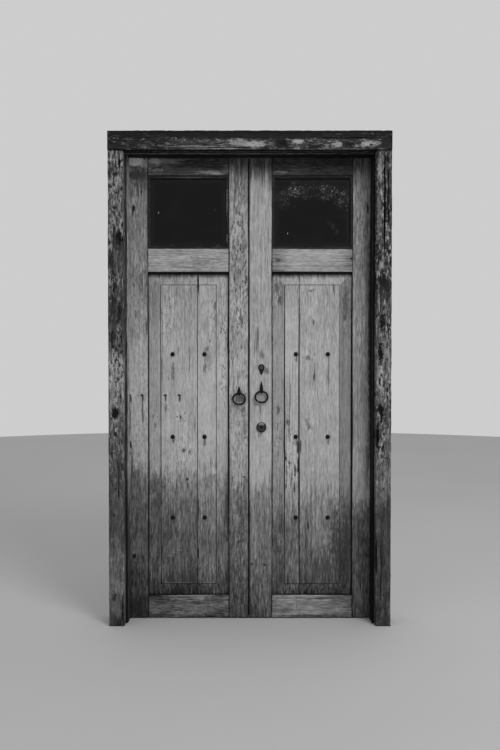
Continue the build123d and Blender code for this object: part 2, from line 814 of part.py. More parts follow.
def cylinder_body():
    """The cylinder in the stile, bored for its plug."""
    back = inner_face - cylinder_end_gap
    body = rod_y(cylinder_radius, lock_x, -cylinder_proud, back, cylinder_height)
    return body - rod_y(plug_radius + plug_clearance, lock_x, -cylinder_proud, back, cylinder_height)


def cylinder_plug():
    """The turning plug, with its keyway and the tail bar that reaches into the latch."""
    plug = rod_y(plug_radius, lock_x, -plug_proud, inner_face, cylinder_height)
    half_width, half_height = keyway_width / 2, keyway_height / 2
    plug -= block(lock_x - half_width, lock_x + half_width, -plug_proud, keyway_depth,
                  cylinder_height - half_height, cylinder_height + half_height)
    bar_half = tail_bar_thickness / 2
    return plug + block(lock_x - bar_half, lock_x + bar_half, inner_face, inner_face + tail_bar_length,
                        cylinder_height - tail_bar_width / 2, cylinder_height + tail_bar_width / 2)


def latch_case():
    """The night latch's case, with its bolt hole and the hole of the knob's spindle."""
    case = hollow_case(cylinder_height, latch_case_width, latch_case_height, latch_case_depth)
    half = latch_bolt_height / 2 + bolt_clearance
    case -= block(right.meeting, right.meeting + case_wall, latch_bolt_front - bolt_clearance,
                  latch_bolt_front + latch_bolt_thickness + bolt_clearance,
                  cylinder_height - half, cylinder_height + half)
    face = inner_face + latch_case_depth
    return case - rod_y(knob_spindle_radius + plug_clearance, lock_x, face - case_wall, face,
                        cylinder_height)


def latch_bolt():
    """The latch bolt, drawn back, with its nose bevelled on the inner side."""
    half = latch_bolt_height / 2
    x0, x1 = right.meeting, right.meeting + latch_bolt_length
    y0, y1 = latch_bolt_front, latch_bolt_front + latch_bolt_thickness
    bolt = block(x0, x1, y0, y1, cylinder_height - half, cylinder_height + half)
    outline = Polygon((x0, y1 - latch_bevel), (x0 + latch_bevel, y1), (x0, y1), align=None)
    nose = Pos(0, 0, cylinder_height - half) * extrude(outline, latch_bolt_height)
    return bolt - nose


def latch_knob():
    """The turn knob of the latch: spindle, disc and a flat grip."""
    case_face = inner_face + latch_case_depth
    face = case_face + knob_gap
    disc_depth = knob_depth - knob_grip_depth
    knob = rod_y(knob_radius, lock_x, face, face + disc_depth, cylinder_height)
    knob = fillet(knob.edges().sort_by(Axis.Y)[-1:], disc_depth / 4)
    grip = block(lock_x - knob_grip_width / 2, lock_x + knob_grip_width / 2, face + disc_depth / 2,
                 face + knob_depth, cylinder_height - knob_radius, cylinder_height + knob_radius)
    grip &= rod_y(knob_radius, lock_x, face, face + knob_depth, cylinder_height)
    spindle = rod_y(knob_spindle_radius, lock_x, case_face - knob_spindle_length, face, cylinder_height)
    return knob + grip + spindle


# Keepers on the left leaf, modelled on the right side and mirrored

def keeper_screws(middle, bolt_height):
    """Screws in the ears of a keeper."""
    x = left.meeting + keeper_depth_x / 2
    reach = bolt_height / 2 + keeper_clearance + keeper_wall + keeper_ear / 2
    return [(x, middle - reach), (x, middle + reach)]


def keeper(middle, bolt_height, bolt_front, bolt_thickness):
    """A box staple whose socket is open towards the other leaf."""
    half = bolt_height / 2 + keeper_clearance
    x0, x1 = left.meeting, left.meeting + keeper_depth_x
    y0 = bolt_front - keeper_clearance
    y1 = bolt_front + bolt_thickness + keeper_clearance
    body = block(x0, x1, inner_face, y1 + keeper_wall,
                 middle - half - keeper_wall, middle + half + keeper_wall)
    body = fillet(body.edges().filter_by(Axis.X).sort_by(Axis.Y)[-2:], keeper_wall / 2)
    body += block(x0, x1, inner_face, plate_face, middle - half - keeper_wall - keeper_ear,
                  middle + half + keeper_wall + keeper_ear)
    body -= block(x0, x0 + keeper_socket_depth, y0, y1, middle - half, middle + half)
    return cut_all(body, [screw_seat(x, z) for x, z in keeper_screws(middle, bolt_height)])


# Barrel bolts on the left leaf, modelled on the right side and mirrored

def barrel_plate_ends():
    """Z of the leaf's end and of the plate's near end, with the way to that end, for each bolt."""
    return {"top": (leaf_top, 1), "bottom": (leaf_bottom, -1)}


def barrel_level(which, distance):
    """Z of a point at a distance from the plate's end that lies nearest the leaf's end."""
    end, way = barrel_plate_ends()[which]
    return end - way * (barrel_end_distance + distance)


def barrel_screws():
    """Screws of both bolt plates."""
    reach = barrel_plate_width / 2 - screw_head_radius - 1
    distances = (barrel_screw_inset, barrel_plate_length - barrel_screw_inset)
    return [(barrel_x + side * reach, barrel_level(which, distance))
            for which in ("top", "bottom") for distance in distances for side in (-1, 1)]


def slab_between(x0, x1, y0, y1, z_one, z_other):
    """A box whose two levels may come in either order."""
    return block(x0, x1, y0, y1, min(z_one, z_other), max(z_one, z_other))


def barrel_guides(which):
    """Near and far distance of the three guides on a plate."""
    length = barrel_guide_length
    last = barrel_plate_length - barrel_end_guide_inset
    first_of_bay = last - 2 * length - barrel_knob_bay
    return ((barrel_end_guide_inset, barrel_end_guide_inset + length),
            (first_of_bay, first_of_bay + length), (last - length, last))


def barrel_plate(which):
    """A bolt plate with its three guides."""
    axis_y = inner_face + barrel_bolt_proud
    half = barrel_plate_width / 2
    plate = slab_between(barrel_x - half, barrel_x + half, inner_face, plate_face,
                         barrel_level(which, 0), barrel_level(which, barrel_plate_length))
    reach = barrel_bolt_radius + barrel_guide_wall
    for near, beyond in barrel_guides(which):
        guide = slab_between(barrel_x - reach, barrel_x + reach, inner_face, axis_y + reach,
                             barrel_level(which, near), barrel_level(which, beyond))
        plate += fillet(guide.edges().filter_by(Axis.Z).sort_by(Axis.Y)[-2:], barrel_guide_wall)
    low, high = sorted((barrel_level(which, 0), barrel_level(which, barrel_plate_length)))
    plate -= rod_z(barrel_bolt_radius + bolt_clearance, barrel_x, axis_y, low - 1, high + 1)
    return cut_all(plate, [screw_seat(x, z) for x, z in barrel_screws() if low < z < high])


def barrel_bolt(which):
    """A round bolt, drawn back, with its knob in the bay between two guides."""
    axis_y = inner_face + barrel_bolt_proud
    end, way = barrel_plate_ends()[which]
    tip = end - way * barrel_bolt_tip_inset
    bay_start, bay_end = barrel_guides(which)[1][1], barrel_guides(which)[2][0]
    knob_z = barrel_level(which, bay_end - barrel_knob_gap - barrel_knob_radius)
    tail = barrel_level(which, barrel_plate_length - barrel_end_guide_inset / 2)
    bolt = rod_z(barrel_bolt_radius, barrel_x, axis_y, min(tip, tail), max(tip, tail))
    bolt = chamfer(bolt.edges().sort_by(Axis.Z)[-1 if way > 0 else 0], barrel_bolt_radius / 4)
    knob = rod_y(barrel_knob_radius, barrel_x, axis_y, axis_y + barrel_knob_length, knob_z)
    knob = fillet(knob.edges().sort_by(Axis.Y)[-1:], barrel_knob_radius / 3)
    return bolt + knob


def top_keeper_screws():
    """Screws of the top bolt's keeper, seen on the left side."""
    reach = barrel_bolt_radius + top_keeper_clearance + top_keeper_wall + screw_head_radius + 2
    z = rebate_top + top_keeper_rise + top_keeper_height / 2
    return [(-barrel_x - reach, z), (-barrel_x + reach, z)]


def top_keeper():
    """The box staple on the head that the top bolt enters."""
    axis_y = inner_face + barrel_bolt_proud
    reach = barrel_bolt_radius + top_keeper_clearance + top_keeper_wall
    ear = reach + 2 * screw_head_radius + 4
    low = rebate_top + top_keeper_rise
    high = low + top_keeper_height
    body = block(-barrel_x - reach, -barrel_x + reach, inner_face, axis_y + reach, low, high)
    body = fillet(body.edges().filter_by(Axis.Z).sort_by(Axis.Y)[-2:], top_keeper_wall)
    body += block(-barrel_x - ear, -barrel_x + ear, inner_face, plate_face, low, high)
    hole = barrel_bolt_radius + top_keeper_clearance
    body -= block(-barrel_x - hole, -barrel_x + hole, axis_y - hole, axis_y + hole, low, high)
    return cut_all(body, [screw_seat(x, z) for x, z in top_keeper_screws()])


# Assembly

def frame_pieces():
    """Every piece that stays with the frame."""
    places = post_nail_places(-1) + post_nail_places(1) + head_nail_places()
    pieces = {
        "surround_head": surround_head(),
        "surround_nails": Compound([surround_nail(x, z) for x, z in places]),
        "frame_head": frame_head(),
        "top_bolt_keeper": top_keeper(),
    }
    screws = [screw(x, z) for x, z in top_keeper_screws()]
    for leaf in (left, right):
        flaps = [leaf.place(hinge_flap(1, middle)) for middle in hinge_heights]
        pins = [leaf.place(hinge_pin(middle)) for middle in hinge_heights]
        screws += [screw(leaf.side * x, z) for x, z in flap_screws(1)]
        pieces["surround_post_" + leaf.name] = surround_post(leaf.side)
        pieces["frame_post_" + leaf.name] = frame_post(leaf.side)
        pieces["frame_hinge_flaps_" + leaf.name] = Compound(flaps)
        pieces["hinge_pins_" + leaf.name] = Compound(pins)
    pieces["frame_screws"] = Compound(screws)
    return pieces


def leaf_pieces(leaf, screw_places):
    """Every piece that both leaves have."""
    inner_board, outer_board = panel_boards(leaf)
    bottom, middle, top = [rail(leaf, low, high) for low, high in rail_levels()]
    flaps = [leaf.place(hinge_flap(-1, middle_z)) for middle_z in hinge_heights]
    shapes = {
        "hinge_stile": hinge_stile(leaf),
        "lock_stile": lock_stile(leaf),
        "top_rail": top,
        "middle_rail": middle,
        "bottom_rail": bottom,
        "inner_board": inner_board,
        "outer_board": outer_board,
        "glass_pane": glass_pane(leaf),
        "ring_plate": ring_plate(leaf),
        "ring_pull": ring_pull(leaf),
    }
    pieces = {leaf.name + "_" + name: leaf.place(shape) for name, shape in shapes.items()}
    groups = {
        "battens": [batten(leaf, z) for z in batten_heights],
        "panel_nails": [domed_nail(x, z) for x, z in nail_places(leaf)],
        "glazing_beads": glazing_beads(leaf),
    }
    for name, solids in groups.items():
        pieces[leaf.name + "_" + name] = Compound([leaf.place(solid) for solid in solids])
    pieces[leaf.name + "_hinge_flaps"] = Compound(flaps)
    places = flap_screws(-1) + screw_places
    pieces[leaf.name + "_screws"] = Compound([screw(leaf.side * x, z) for x, z in places])
    return pieces


def left_hardware():
    """Bolts and keepers of the left leaf."""
    shapes = {
        "lock_keeper": keeper(lock_bolt_middle, lock_bolt_height, lock_bolt_front, lock_bolt_thickness),
        "latch_keeper": keeper(cylinder_height, latch_bolt_height, latch_bolt_front, latch_bolt_thickness),
    }
    for which in ("top", "bottom"):
        shapes[which + "_bolt_plate"] = barrel_plate(which)
        shapes[which + "_bolt"] = barrel_bolt(which)
    return {name: left.place(shape) for name, shape in shapes.items()}


def right_hardware():
    """Lock, latch, cylinder and keyhole cover of the right leaf."""
    return {
        "keyhole_cover": keyhole_cover(),
        "keyhole_rivet": cover_rivet(),
        "lock_case": lock_case(),
        "lock_bolt": lock_bolt(),
        "cylinder_collar": cylinder_collar(),
        "cylinder_body": cylinder_body(),
        "cylinder_plug": cylinder_plug(),
        "latch_case": latch_case(),
        "latch_bolt": latch_bolt(),
        "latch_knob": latch_knob(),
    }


def all_pieces():
    """Every piece by its name."""
    left_screws = (keeper_screws(lock_bolt_middle, lock_bolt_height)
                   + keeper_screws(cylinder_height, latch_bolt_height) + barrel_screws())
    right_screws = (case_screws(lock_case_middle(), lock_case_height, lock_case_width)
                    + case_screws(cylinder_height, latch_case_height, latch_case_width))
    pieces = frame_pieces()
    pieces.update(leaf_pieces(left, left_screws))
    pieces.update(leaf_pieces(right, right_screws))
    pieces.update(left_hardware())
    pieces.update(right_hardware())
    return pieces


os.makedirs("parts", exist_ok=True)
for node_name, node_shape in all_pieces().items():
    export_step(node_shape, "parts/" + node_name + ".step")
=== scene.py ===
"""Looks of an old double-leaf street door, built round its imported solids.

Every piece keeps the place of its solid. Timber gets worn arrises, splits and weathered paint, ironwork gets
its forged surface, and the panes their dust. Lengths are in metres, apart from the places and sizes of
stains, which are in millimetres. Greys run from 0 to 1 as they show on a screen. +X is to the right seen
from the street, -Y points out to the street and +Z is up.
"""
import json
import logging
import math
from dataclasses import dataclass, field
from enum import Enum
from typing import Any, Callable, Iterable, Union

import bmesh
import bpy
from mathutils import Matrix, Vector, noise


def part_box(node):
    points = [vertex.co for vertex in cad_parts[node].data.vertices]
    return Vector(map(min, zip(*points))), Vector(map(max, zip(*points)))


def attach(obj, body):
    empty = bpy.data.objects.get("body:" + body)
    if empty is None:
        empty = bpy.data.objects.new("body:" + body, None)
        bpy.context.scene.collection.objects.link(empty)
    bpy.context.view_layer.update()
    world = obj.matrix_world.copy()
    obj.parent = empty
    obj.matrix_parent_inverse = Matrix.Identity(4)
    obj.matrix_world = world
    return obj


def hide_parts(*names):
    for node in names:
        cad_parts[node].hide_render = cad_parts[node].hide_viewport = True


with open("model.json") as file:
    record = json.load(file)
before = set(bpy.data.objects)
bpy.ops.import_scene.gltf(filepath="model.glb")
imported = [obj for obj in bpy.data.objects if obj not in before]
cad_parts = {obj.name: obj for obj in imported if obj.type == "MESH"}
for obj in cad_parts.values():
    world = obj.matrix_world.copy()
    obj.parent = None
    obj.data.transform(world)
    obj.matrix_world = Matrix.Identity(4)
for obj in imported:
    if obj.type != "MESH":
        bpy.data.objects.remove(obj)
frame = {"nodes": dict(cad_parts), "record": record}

LOG = logging.getLogger("door")
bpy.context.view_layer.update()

DISPLAY_GAMMA = 2.2
WHITE_LEVEL = 255.0
BLACK_GREY = 0.02
MILLIMETRE = 0.001
MERGE_DISTANCE = 0.00001
FLAT_ANGLE = math.radians(1.0)
SHARP_ANGLE = math.radians(28.0)
SMOOTH_ANGLE = math.radians(40.0)
ARRIS_FACETS = 2
MEETING_SLOPE = 0.00198
FRAME_FRONT = -0.0615
STOP_BACK = -0.001
STREET_SIDE = 0.0196
INSIDE = 0.0216
NAIL_ROWS = (0.465, 0.836, 1.214)
SEED_SHIFT = (17.31, 5.77, 11.13)

Stops = tuple[tuple[float, float], ...]
Span = tuple[float, float]
Number = Union["Signal", float]


class Grain(Enum):
    """The way that the fibres of a piece run, as the index of that axis."""

    LEVEL = 0
    UPRIGHT = 2

    def stretch(self, across: float, along: float) -> tuple[float, float, float]:
        """Gives noise frequencies per metre: high across the fibres and low along them."""
        return tuple(along if index == self.value else across for index in range(3))

    @property
    def across(self) -> int:
        """Index of the axis that runs across the fibres in the face of the piece."""
        return Grain.UPRIGHT.value - self.value


class Slot(Enum):
    """Material slots of the record. Each piece holds one, but nothing reads it."""

    LEAF = "leaf_paint"
    SURROUND = "surround_wood"
    FRAME = "frame_wood"
    BATTEN = "batten_wood"
    IRON = "iron"
    STEEL = "bolt_steel"
    JAPANNED = "lock_paint"
    BRASS = "cylinder_brass"


@dataclass(frozen=True)
class Layer:
    """A layer of noise in a finish.

    across and along are its frequencies per metre, across the fibres and along them. step is added to the
    seed of the finish, detail is the number of finer layers, rough the share of each, and warp twists the
    pattern. tone and relief say how much the layer counts in the tone and in the relief of the finish.
    """

    across: float
    along: float
    step: float = 0.0
    detail: float = 4.0
    rough: float = 0.55
    warp: float = 0.0
    tone: float = 0.0
    relief: float = 0.0


@dataclass(frozen=True)
class Sheen:
    """How a surface shines.

    rough is its roughness, and worn and blotchy say what wear and blotches add to it. depth is the size of
    its relief in millimetres and specular the shader's specular level. bare is its share of bare metal, and
    bare_worn says what wear adds to that.
    """

    rough: float
    worn: float = 0.0
    blotchy: float = 0.0
    depth: float = 1.0
    specular: float = 0.5
    bare: float = 0.0
    bare_worn: float = 0.0


@dataclass(frozen=True)
class Stain:
    """A soft mark on a street-side face, placed and measured in millimetres.

    x and z are its middle, half_x and half_z its half sizes, grey its tone, strength how far it covers,
    ragged how far noise breaks its outline, and core the share of its size that it fills evenly.
    """

    x: float
    z: float
    half_x: float
    half_z: float
    grey: float
    strength: float = 0.6
    ragged: float = 2
    core: float = 0.3


Stains = tuple[Stain, ...]


@dataclass(frozen=True)
class Rectangle:
    """An upright rectangle in X and Z."""

    left: float
    right: float
    bottom: float
    top: float

    def shrunk(self, left: float, right: float, bottom: float, top: float) -> "Rectangle":
        """The rectangle with its sides moved inwards."""
        return Rectangle(self.left + left, self.right - right, self.bottom + bottom, self.top - top)


class Signal:
    """A number that varies over a surface. Its operators add Math nodes."""

    def __init__(self, tree: "Tree", socket: bpy.types.NodeSocket) -> None:
        """Holds the tree that the number lives in and the socket that gives it."""
        self.tree = tree
        self.socket = socket

    def _math(self, operation: str, first: Number, second: Number) -> "Signal":
        """Adds one Math node with two operands."""
        made = self.tree.node("ShaderNodeMath", {"operation": operation}, {0: first, 1: second})
        return Signal(self.tree, made.outputs[0])

    def __add__(self, other: Number) -> "Signal":
        """Sum."""
        return self._math("ADD", self, other)

    __radd__ = __add__

    def __sub__(self, other: Number) -> "Signal":
        """Difference."""
        return self._math("SUBTRACT", self, other)

    def __rsub__(self, other: Number) -> "Signal":
        """Difference with this number on the right."""
        return self._math("SUBTRACT", other, self)

    def __mul__(self, other: Number) -> "Signal":
        """Product."""
        return self._math("MULTIPLY", self, other)

    __rmul__ = __mul__

    def __pow__(self, other: Number) -> "Signal":
        """Power."""
        return self._math("POWER", self, other)

    def __abs__(self) -> "Signal":
        """Size without its sign."""
        return self._math("ABSOLUTE", self, 0.0)

    def at_least(self, other: Number) -> "Signal":
        """The larger of the two."""
        return self._math("MAXIMUM", self, other)

    def at_most(self, other: Number) -> "Signal":
        """The smaller of the two."""
        return self._math("MINIMUM", self, other)

    def ease(self, low: float, high: float) -> "Signal":
        """Runs smoothly from 0 at low to 1 at high. The two may come in either order.

        Args:
            low: Value that gives 0.
            high: Value that gives 1.

        Returns:
            A number between 0 and 1.
        """
        made = self.tree.node("ShaderNodeMapRange", {"interpolation_type": "SMOOTHSTEP"},
                              {0: self, 1: low, 2: high, 3: 0.0, 4: 1.0})
        return Signal(self.tree, made.outputs[0])

    def toward(self, goal: Number, share: Number) -> "Signal":
        """Goes from this number to the goal by a share between 0 and 1."""
        return self + (goal - self) * share


class Tree:
    """A node tree with one way to add nodes."""

    def __init__(self, tree: bpy.types.NodeTree) -> None:
        """Empties the tree and holds it."""
        self.tree = tree
        self.tree.nodes.clear()

    def node(self, kind: str, settings: dict[str, Any] | None = None,
             inputs: dict[Any, Any] | None = None) -> bpy.types.Node:
        """Adds a node: its settings first, then the values and links of its sockets.

        Args:
            kind: Type of the node.
            settings: Attributes by name. The name points stands for the points of a curve.
            inputs: Values, sockets or signals by socket name or number.

        Returns:
            The new node.
        """
        made = self.tree.nodes.new(kind)
        for name, value in (settings or {}).items():
            if name == "points":
                self._shape_curve(made.mapping, value)
            else:
                setattr(made, name, value)
        for name, value in (inputs or {}).items():
            if isinstance(value, Signal):
                self.tree.links.new(value.socket, made.inputs[name])
            elif isinstance(value, bpy.types.NodeSocket):
                self.tree.links.new(value, made.inputs[name])
            else:
                made.inputs[name].default_value = value
        return made

    @staticmethod
    def _shape_curve(mapping: bpy.types.CurveMapping, points: Stops) -> None:
        """Gives a curve its points, the two that it starts with included."""
        curve = mapping.curves[0]
        for index, (x, y) in enumerate(points):
            point = curve.points[index] if index < 2 else curve.points.new(x, y)
            point.location = (x, y)
            point.handle_type = "AUTO_CLAMPED"
        mapping.update()


class Net(Tree):
    """A material's node tree with short ways to add to it."""

    split_lines: Layer = Layer(38.0, 0.7, detail=2.0, rough=0.4)
    split_places: Layer = Layer(9.0, 4.0, 1.0, detail=2.0)
    split_edge: Span = (0.0075, 0.0010)
    split_start: Span = (0.12, 0.20)
    split_gain: Span = (0.20, 0.10)

    def __init__(self, name: str, grain: Grain = Grain.LEVEL, seed: float = 0.0) -> None:
        """Starts an empty material.

        Args:
            name: Name of the material.
            grain: The way that its layers of noise run.
            seed: Shifts its layers of noise.
        """
        self.material = bpy.data.materials.new(name)
        self.material.use_nodes = True
        super().__init__(self.material.node_tree)
        self.grain = grain
        self.seed = seed
        self.place = self.node("ShaderNodeTexCoord").outputs["Object"]
        self.axes = self.node("ShaderNodeSeparateXYZ", inputs={0: self.place}).outputs
        self.street = self.axis(1).ease(INSIDE, STREET_SIDE)

    def axis(self, index: int) -> Signal:
        """Place along one axis of the object, in metres."""
        return Signal(self, self.axes[index])

    def _scaled(self, layer: Layer, step: float) -> bpy.types.NodeSocket:
        """Object coordinates times the frequencies of a layer, shifted by its seed."""
        seed = self.seed + step + layer.step
        inputs = {"Vector": self.place, "Scale": self.grain.stretch(layer.across, layer.along),
                  "Location": tuple(shift * seed for shift in SEED_SHIFT)}
        return self.node("ShaderNodeMapping", inputs=inputs).outputs[0]

    def noise(self, layer: Layer, step: float = 0.0) -> Signal:
        """Soft noise with its middle at 0, mostly between -0.3 and 0.3.

        Args:
            layer: Its frequencies and detail.
            step: Added to the seed.

        Returns:
            The noise at each place.
        """
        made = self.node("ShaderNodeTexNoise", {"noise_dimensions": "3D"},
                         {"Vector": self._scaled(layer, step), "Scale": 1.0, "Detail": layer.detail,
                          "Roughness": layer.rough, "Distortion": layer.warp})
        return Signal(self, made.outputs[0]) - 0.5

    def noises(self, *layers: Layer) -> list[Signal]:
        """Soft noise of each layer."""
        return [self.noise(layer) for layer in layers]

    def cells(self, layer: Layer) -> Signal:
        """Distance to the middle of the nearest of many scattered cells."""
        made = self.node("ShaderNodeTexVoronoi", inputs={"Vector": self._scaled(layer, 0.0), "Scale": 1.0})
        return Signal(self, made.outputs["Distance"])

    def curve(self, along: Signal, stops: Stops) -> Signal:
        """A value that follows stops of place and height.

        Args:
            along: Place, in metres.
            stops: Places in rising order with their values between 0 and 1.

        Returns:
            The value at each place.
        """
        first, last = stops[0][0], stops[-1][0]
        share = self.node("ShaderNodeMapRange", inputs={0: along, 1: first, 2: last, 3: 0.0, 4: 1.0})
        points = tuple(((place - first) / (last - first), value) for place, value in stops)
        made = self.node("ShaderNodeFloatCurve", {"points": points}, {"Value": share.outputs[0]})
        return Signal(self, made.outputs[0])

    def inside(self, face: Rectangle) -> Signal:
        """Distance inwards from the nearest side of a rectangle, negative outside it."""
        return self.aside(face).at_most(self.above(face))

    def aside(self, face: Rectangle) -> Signal:
        """Distance inwards from the nearer of a rectangle's upright sides."""
        return (self.axis(0) - face.left).at_most(face.right - self.axis(0))

    def above(self, face: Rectangle) -> Signal:
        """Distance inwards from the nearer of a rectangle's level sides."""
        return (self.axis(2) - face.bottom).at_most(face.top - self.axis(2))

    def splits(self, step: float, amount: float) -> Signal:
        """Thin splits that run with the grain and come and go.

        Args:
            step: Added to the seed.
            amount: How much of the wood they cross, from 0 to 1.

        Returns:
            1 in the middle of a split and 0 away from it.
        """
        lines = self.noise(self.split_lines, step)
        places = self.noise(self.split_places, step)
        low, high = (start - gain * amount for start, gain in zip(self.split_start, self.split_gain))
        return abs(lines).ease(*self.split_edge) * places.ease(low, high)

    def mark(self, stain: Stain, ragged: Signal) -> Signal:
        """How much of a stain shows at each place.

        Args:
            stain: The mark.
            ragged: Noise that breaks up its outline.

        Returns:
            A number between 0 and the strength of the stain.
        """
        scale = (1.0 / (stain.half_x * MILLIMETRE), 0.0, 1.0 / (stain.half_z * MILLIMETRE))
        shift = (-stain.x / stain.half_x, 0.0, -stain.z / stain.half_z)
        placed = self.node("ShaderNodeMapping", inputs={"Vector": self.place, "Scale": scale,
                                                        "Location": shift})
        length = self.node("ShaderNodeVectorMath", {"operation": "LENGTH"}, {0: placed.outputs[0]})
        distance = Signal(self, length.outputs["Value"]) + ragged * stain.ragged
        return distance.ease(1.0, stain.core) * self.street * stain.strength

    def stained(self, tone: Signal, stains: Iterable[Stain], ragged: Signal) -> Signal:
        """Lays stains over a tone, one after the other."""
        for stain in stains:
            tone = tone.toward(stain.grey, self.mark(stain, ragged))
        return tone

    def surface(self, tone: Signal, sheen: Sheen, height: Signal | None = None, worn: Signal | None = None,
                blotches: Signal | None = None) -> bpy.types.Material:
        """Ends the tree in its shader.

        Args:
            tone: Grey as it shows on a screen.
            sheen: How the surface shines.
            height: Relief between about -0.5 and 0.5.
            worn: Where the surface is worn, from 0 to 1.
            blotches: Where it is blotchy.

        Returns:
            The finished material.
        """
        rough: Number = sheen.rough
        metallic: Number = sheen.bare
        if worn is not None:
            rough = worn * sheen.worn + rough
        if worn is not None and sheen.bare_worn:
            metallic = worn * sheen.bare_worn + metallic
        if blotches is not None and sheen.blotchy:
            rough = blotches * sheen.blotchy + rough
        linear = tone.at_least(BLACK_GREY) ** DISPLAY_GAMMA
        colour = self.node("ShaderNodeCombineColor", inputs={0: linear, 1: linear, 2: linear})
        shader = self.node("ShaderNodeBsdfPrincipled",
                           inputs={"Base Color": colour.outputs[0], "Roughness": rough, "Metallic": metallic,
                                   "Specular IOR Level": sheen.specular})
        if height is not None:
            depth = sheen.depth * MILLIMETRE
            bump = self.node("ShaderNodeBump", inputs={"Strength": 1.0, "Distance": depth, "Height": height})
            self.tree.links.new(bump.outputs[0], shader.inputs["Normal"])
        self.node("ShaderNodeOutputMaterial", inputs={"Surface": shader.outputs[0]})
        return self.material


@dataclass(frozen=True)
class PaintedTimber:
    """Old pale paint on softwood: worn off the ridges of its grain, streaked by rain, dirty in the joints.

    tones are stops along the grain. flecks says how much paint is gone and zones where more of it is gone,
    cracks how many fine splits there are, drip how far rain streaks pull the tones along, clouds how blotchy
    and mottle how speckled it is. face is the part of the piece that shows. field is the raised field of a
    panel, with a line round it and painted shade on its side bevels. top_shade paints the shadow of the rail
    above the face. Spans are where a mark goes from none to all.
    """

    seed: float
    grain: Grain
    tones: Stops
    face: Rectangle
    flecks: float = 0.3
    cracks: float = 0.4
    drip: float = 0.18
    clouds: float = 0.5
    joint_dirt: float = 0.65
    dirt_reach: float = 0.0042
    field: Rectangle | None = None
    bevel_shade: float = 0.12
    top_shade: float = 0.0
    mottle: float = 0.07
    zones: Stains = ()
    stains: Stains = ()
    fibres: Layer = Layer(480.0, 12.0, 0.0, rough=0.6, tone=0.6, relief=0.35)
    bands: Layer = Layer(115.0, 2.4, 1.0, rough=0.6, warp=0.3, tone=0.5, relief=0.35)
    dashes: Layer = Layer(170.0, 26.0, 8.0, rough=0.65, tone=1.0, relief=0.3)
    cloud: Layer = Layer(21.0, 8.0, 2.0, rough=0.62)
    streaks: Layer = Layer(90.0, 1.4, 3.0, rough=0.65)
    scattered: Layer = Layer(185.0, 52.0, 4.0, detail=5.0, rough=0.68)
    outlines: Layer = Layer(110.0, 45.0, 5.0, rough=0.65)
    specks: Layer = Layer(135.0, 44.0, 9.0, detail=5.0, rough=0.72, warp=0.3)
    sheen: Sheen = Sheen(0.62, 0.25, 0.3, 1.1, 0.25)
    split_step: float = 6.0
    streak_reach: float = 2.0
    streak_dashes: float = 0.35
    contrast: float = 3.3
    contrast_fade: float = 4.3
    least_contrast: float = 0.4
    speck_span: Span = (0.0, 0.11)
    speck_middle: float = 0.3
    zone_specks: float = 0.40
    gone_low: float = 0.31
    gone_per_fleck: float = 0.16
    gone_fade: float = 0.06
    gone_clouds: float = 0.6
    gone_zones: float = 0.20
    gone_cover: float = 0.8
    gone_relief: float = 0.30
    bare_grey: float = 0.17
    split_shade: float = 0.7
    split_relief: float = 0.9
    rim_waver: float = 0.008
    rim_end: float = 0.0002
    top_waver: float = 0.02
    top_span: Span = (0.043, 0.002)
    top_power: float = 2.2
    line_span: Span = (0.0026, 0.0006)
    line_shade: float = 0.55
    line_waver: float = 1.6
    bevel_span: Span = (0.0, -0.004)
    mitre_span: Span = (-0.001, 0.003)

    def material(self, name: str) -> bpy.types.Material:
        """Builds the finish."""
        net = Net(name, self.grain, self.seed)
        fibres, bands, dashes, cloud = net.noises(self.fibres, self.bands, self.dashes, self.cloud)
        streaks, ragged, specks = net.noises(self.streaks, self.outlines, self.specks)
        shift = (streaks + dashes * self.streak_dashes) * (self.streak_reach * self.drip)
        level = net.curve(net.axis(self.grain.value) + shift, self.tones)
        pattern = fibres * self.fibres.tone + bands * self.bands.tone + dashes * self.dashes.tone
        contrast = (self.contrast - level * self.contrast_fade).at_least(self.least_contrast)
        tone = level * (1.0 + (pattern + cloud * self.clouds) * contrast)
        zone = sum((net.mark(zone, ragged) for zone in self.zones), net.axis(0) * 0.0).at_most(1.0)
        specks = specks.ease(*self.speck_span) - self.speck_middle
        tone = tone * (1.0 - specks * (zone * self.zone_specks + self.mottle))
        gone = self._gone(net, cloud, zone)
        tone = tone.toward(self.bare_grey, gone * self.gone_cover)
        split = net.splits(self.split_step, self.cracks)
        tone = tone * (1.0 - split * self.split_shade)
        tone = tone * (1.0 - self._dirt_and_shade(net, bands))
        tone = net.stained(tone, self.stains, ragged)
        relief = fibres * self.fibres.relief + bands * self.bands.relief + dashes * self.dashes.relief
        relief = relief - gone * self.gone_relief - split * self.split_relief
        return net.surface(tone, self.sheen, relief, gone, cloud)

    def _gone(self, net: Net, cloud: Signal, zone: Signal) -> Signal:
        """Where the paint has left the grain."""
        low = self.gone_low - self.gone_per_fleck * self.flecks
        worn = net.noise(self.scattered) + cloud * self.gone_clouds + zone * self.gone_zones
        return worn.ease(low, low + self.gone_fade)

    def _dirt_and_shade(self, net: Net, bands: Signal) -> Signal:
        """Joint dirt round the face and field, and painted shade below the rail and on the side bevels."""
        # dirt starts as joint dirt and then takes in the painted shade as well.
        rim = net.inside(self.face) + bands * self.rim_waver
        dirt = rim.ease(self.dirt_reach, self.rim_end) * self.joint_dirt
        # Painted shadow that the rail above casts on the top of the face.
        if self.top_shade:
            below = self.face.top - net.axis(2) + bands * self.top_waver
            shade = below.ease(*self.top_span) ** self.top_power * self.top_shade
            dirt = dirt.at_least(shade * net.street)
        if self.field is None:
            return dirt
        line = abs(net.inside(self.field)).ease(*self.line_span)
        line = line * (self.line_shade + bands * self.line_waver)
        # Painted shade on the side bevels; the top bevel faces the light and is left out.
        aside, above = net.aside(self.field), net.above(self.field)
        bevel = aside.ease(*self.bevel_span) * (above - aside).ease(*self.mitre_span) * self.bevel_shade
        return dirt.at_least(line.at_least(bevel) * net.street)


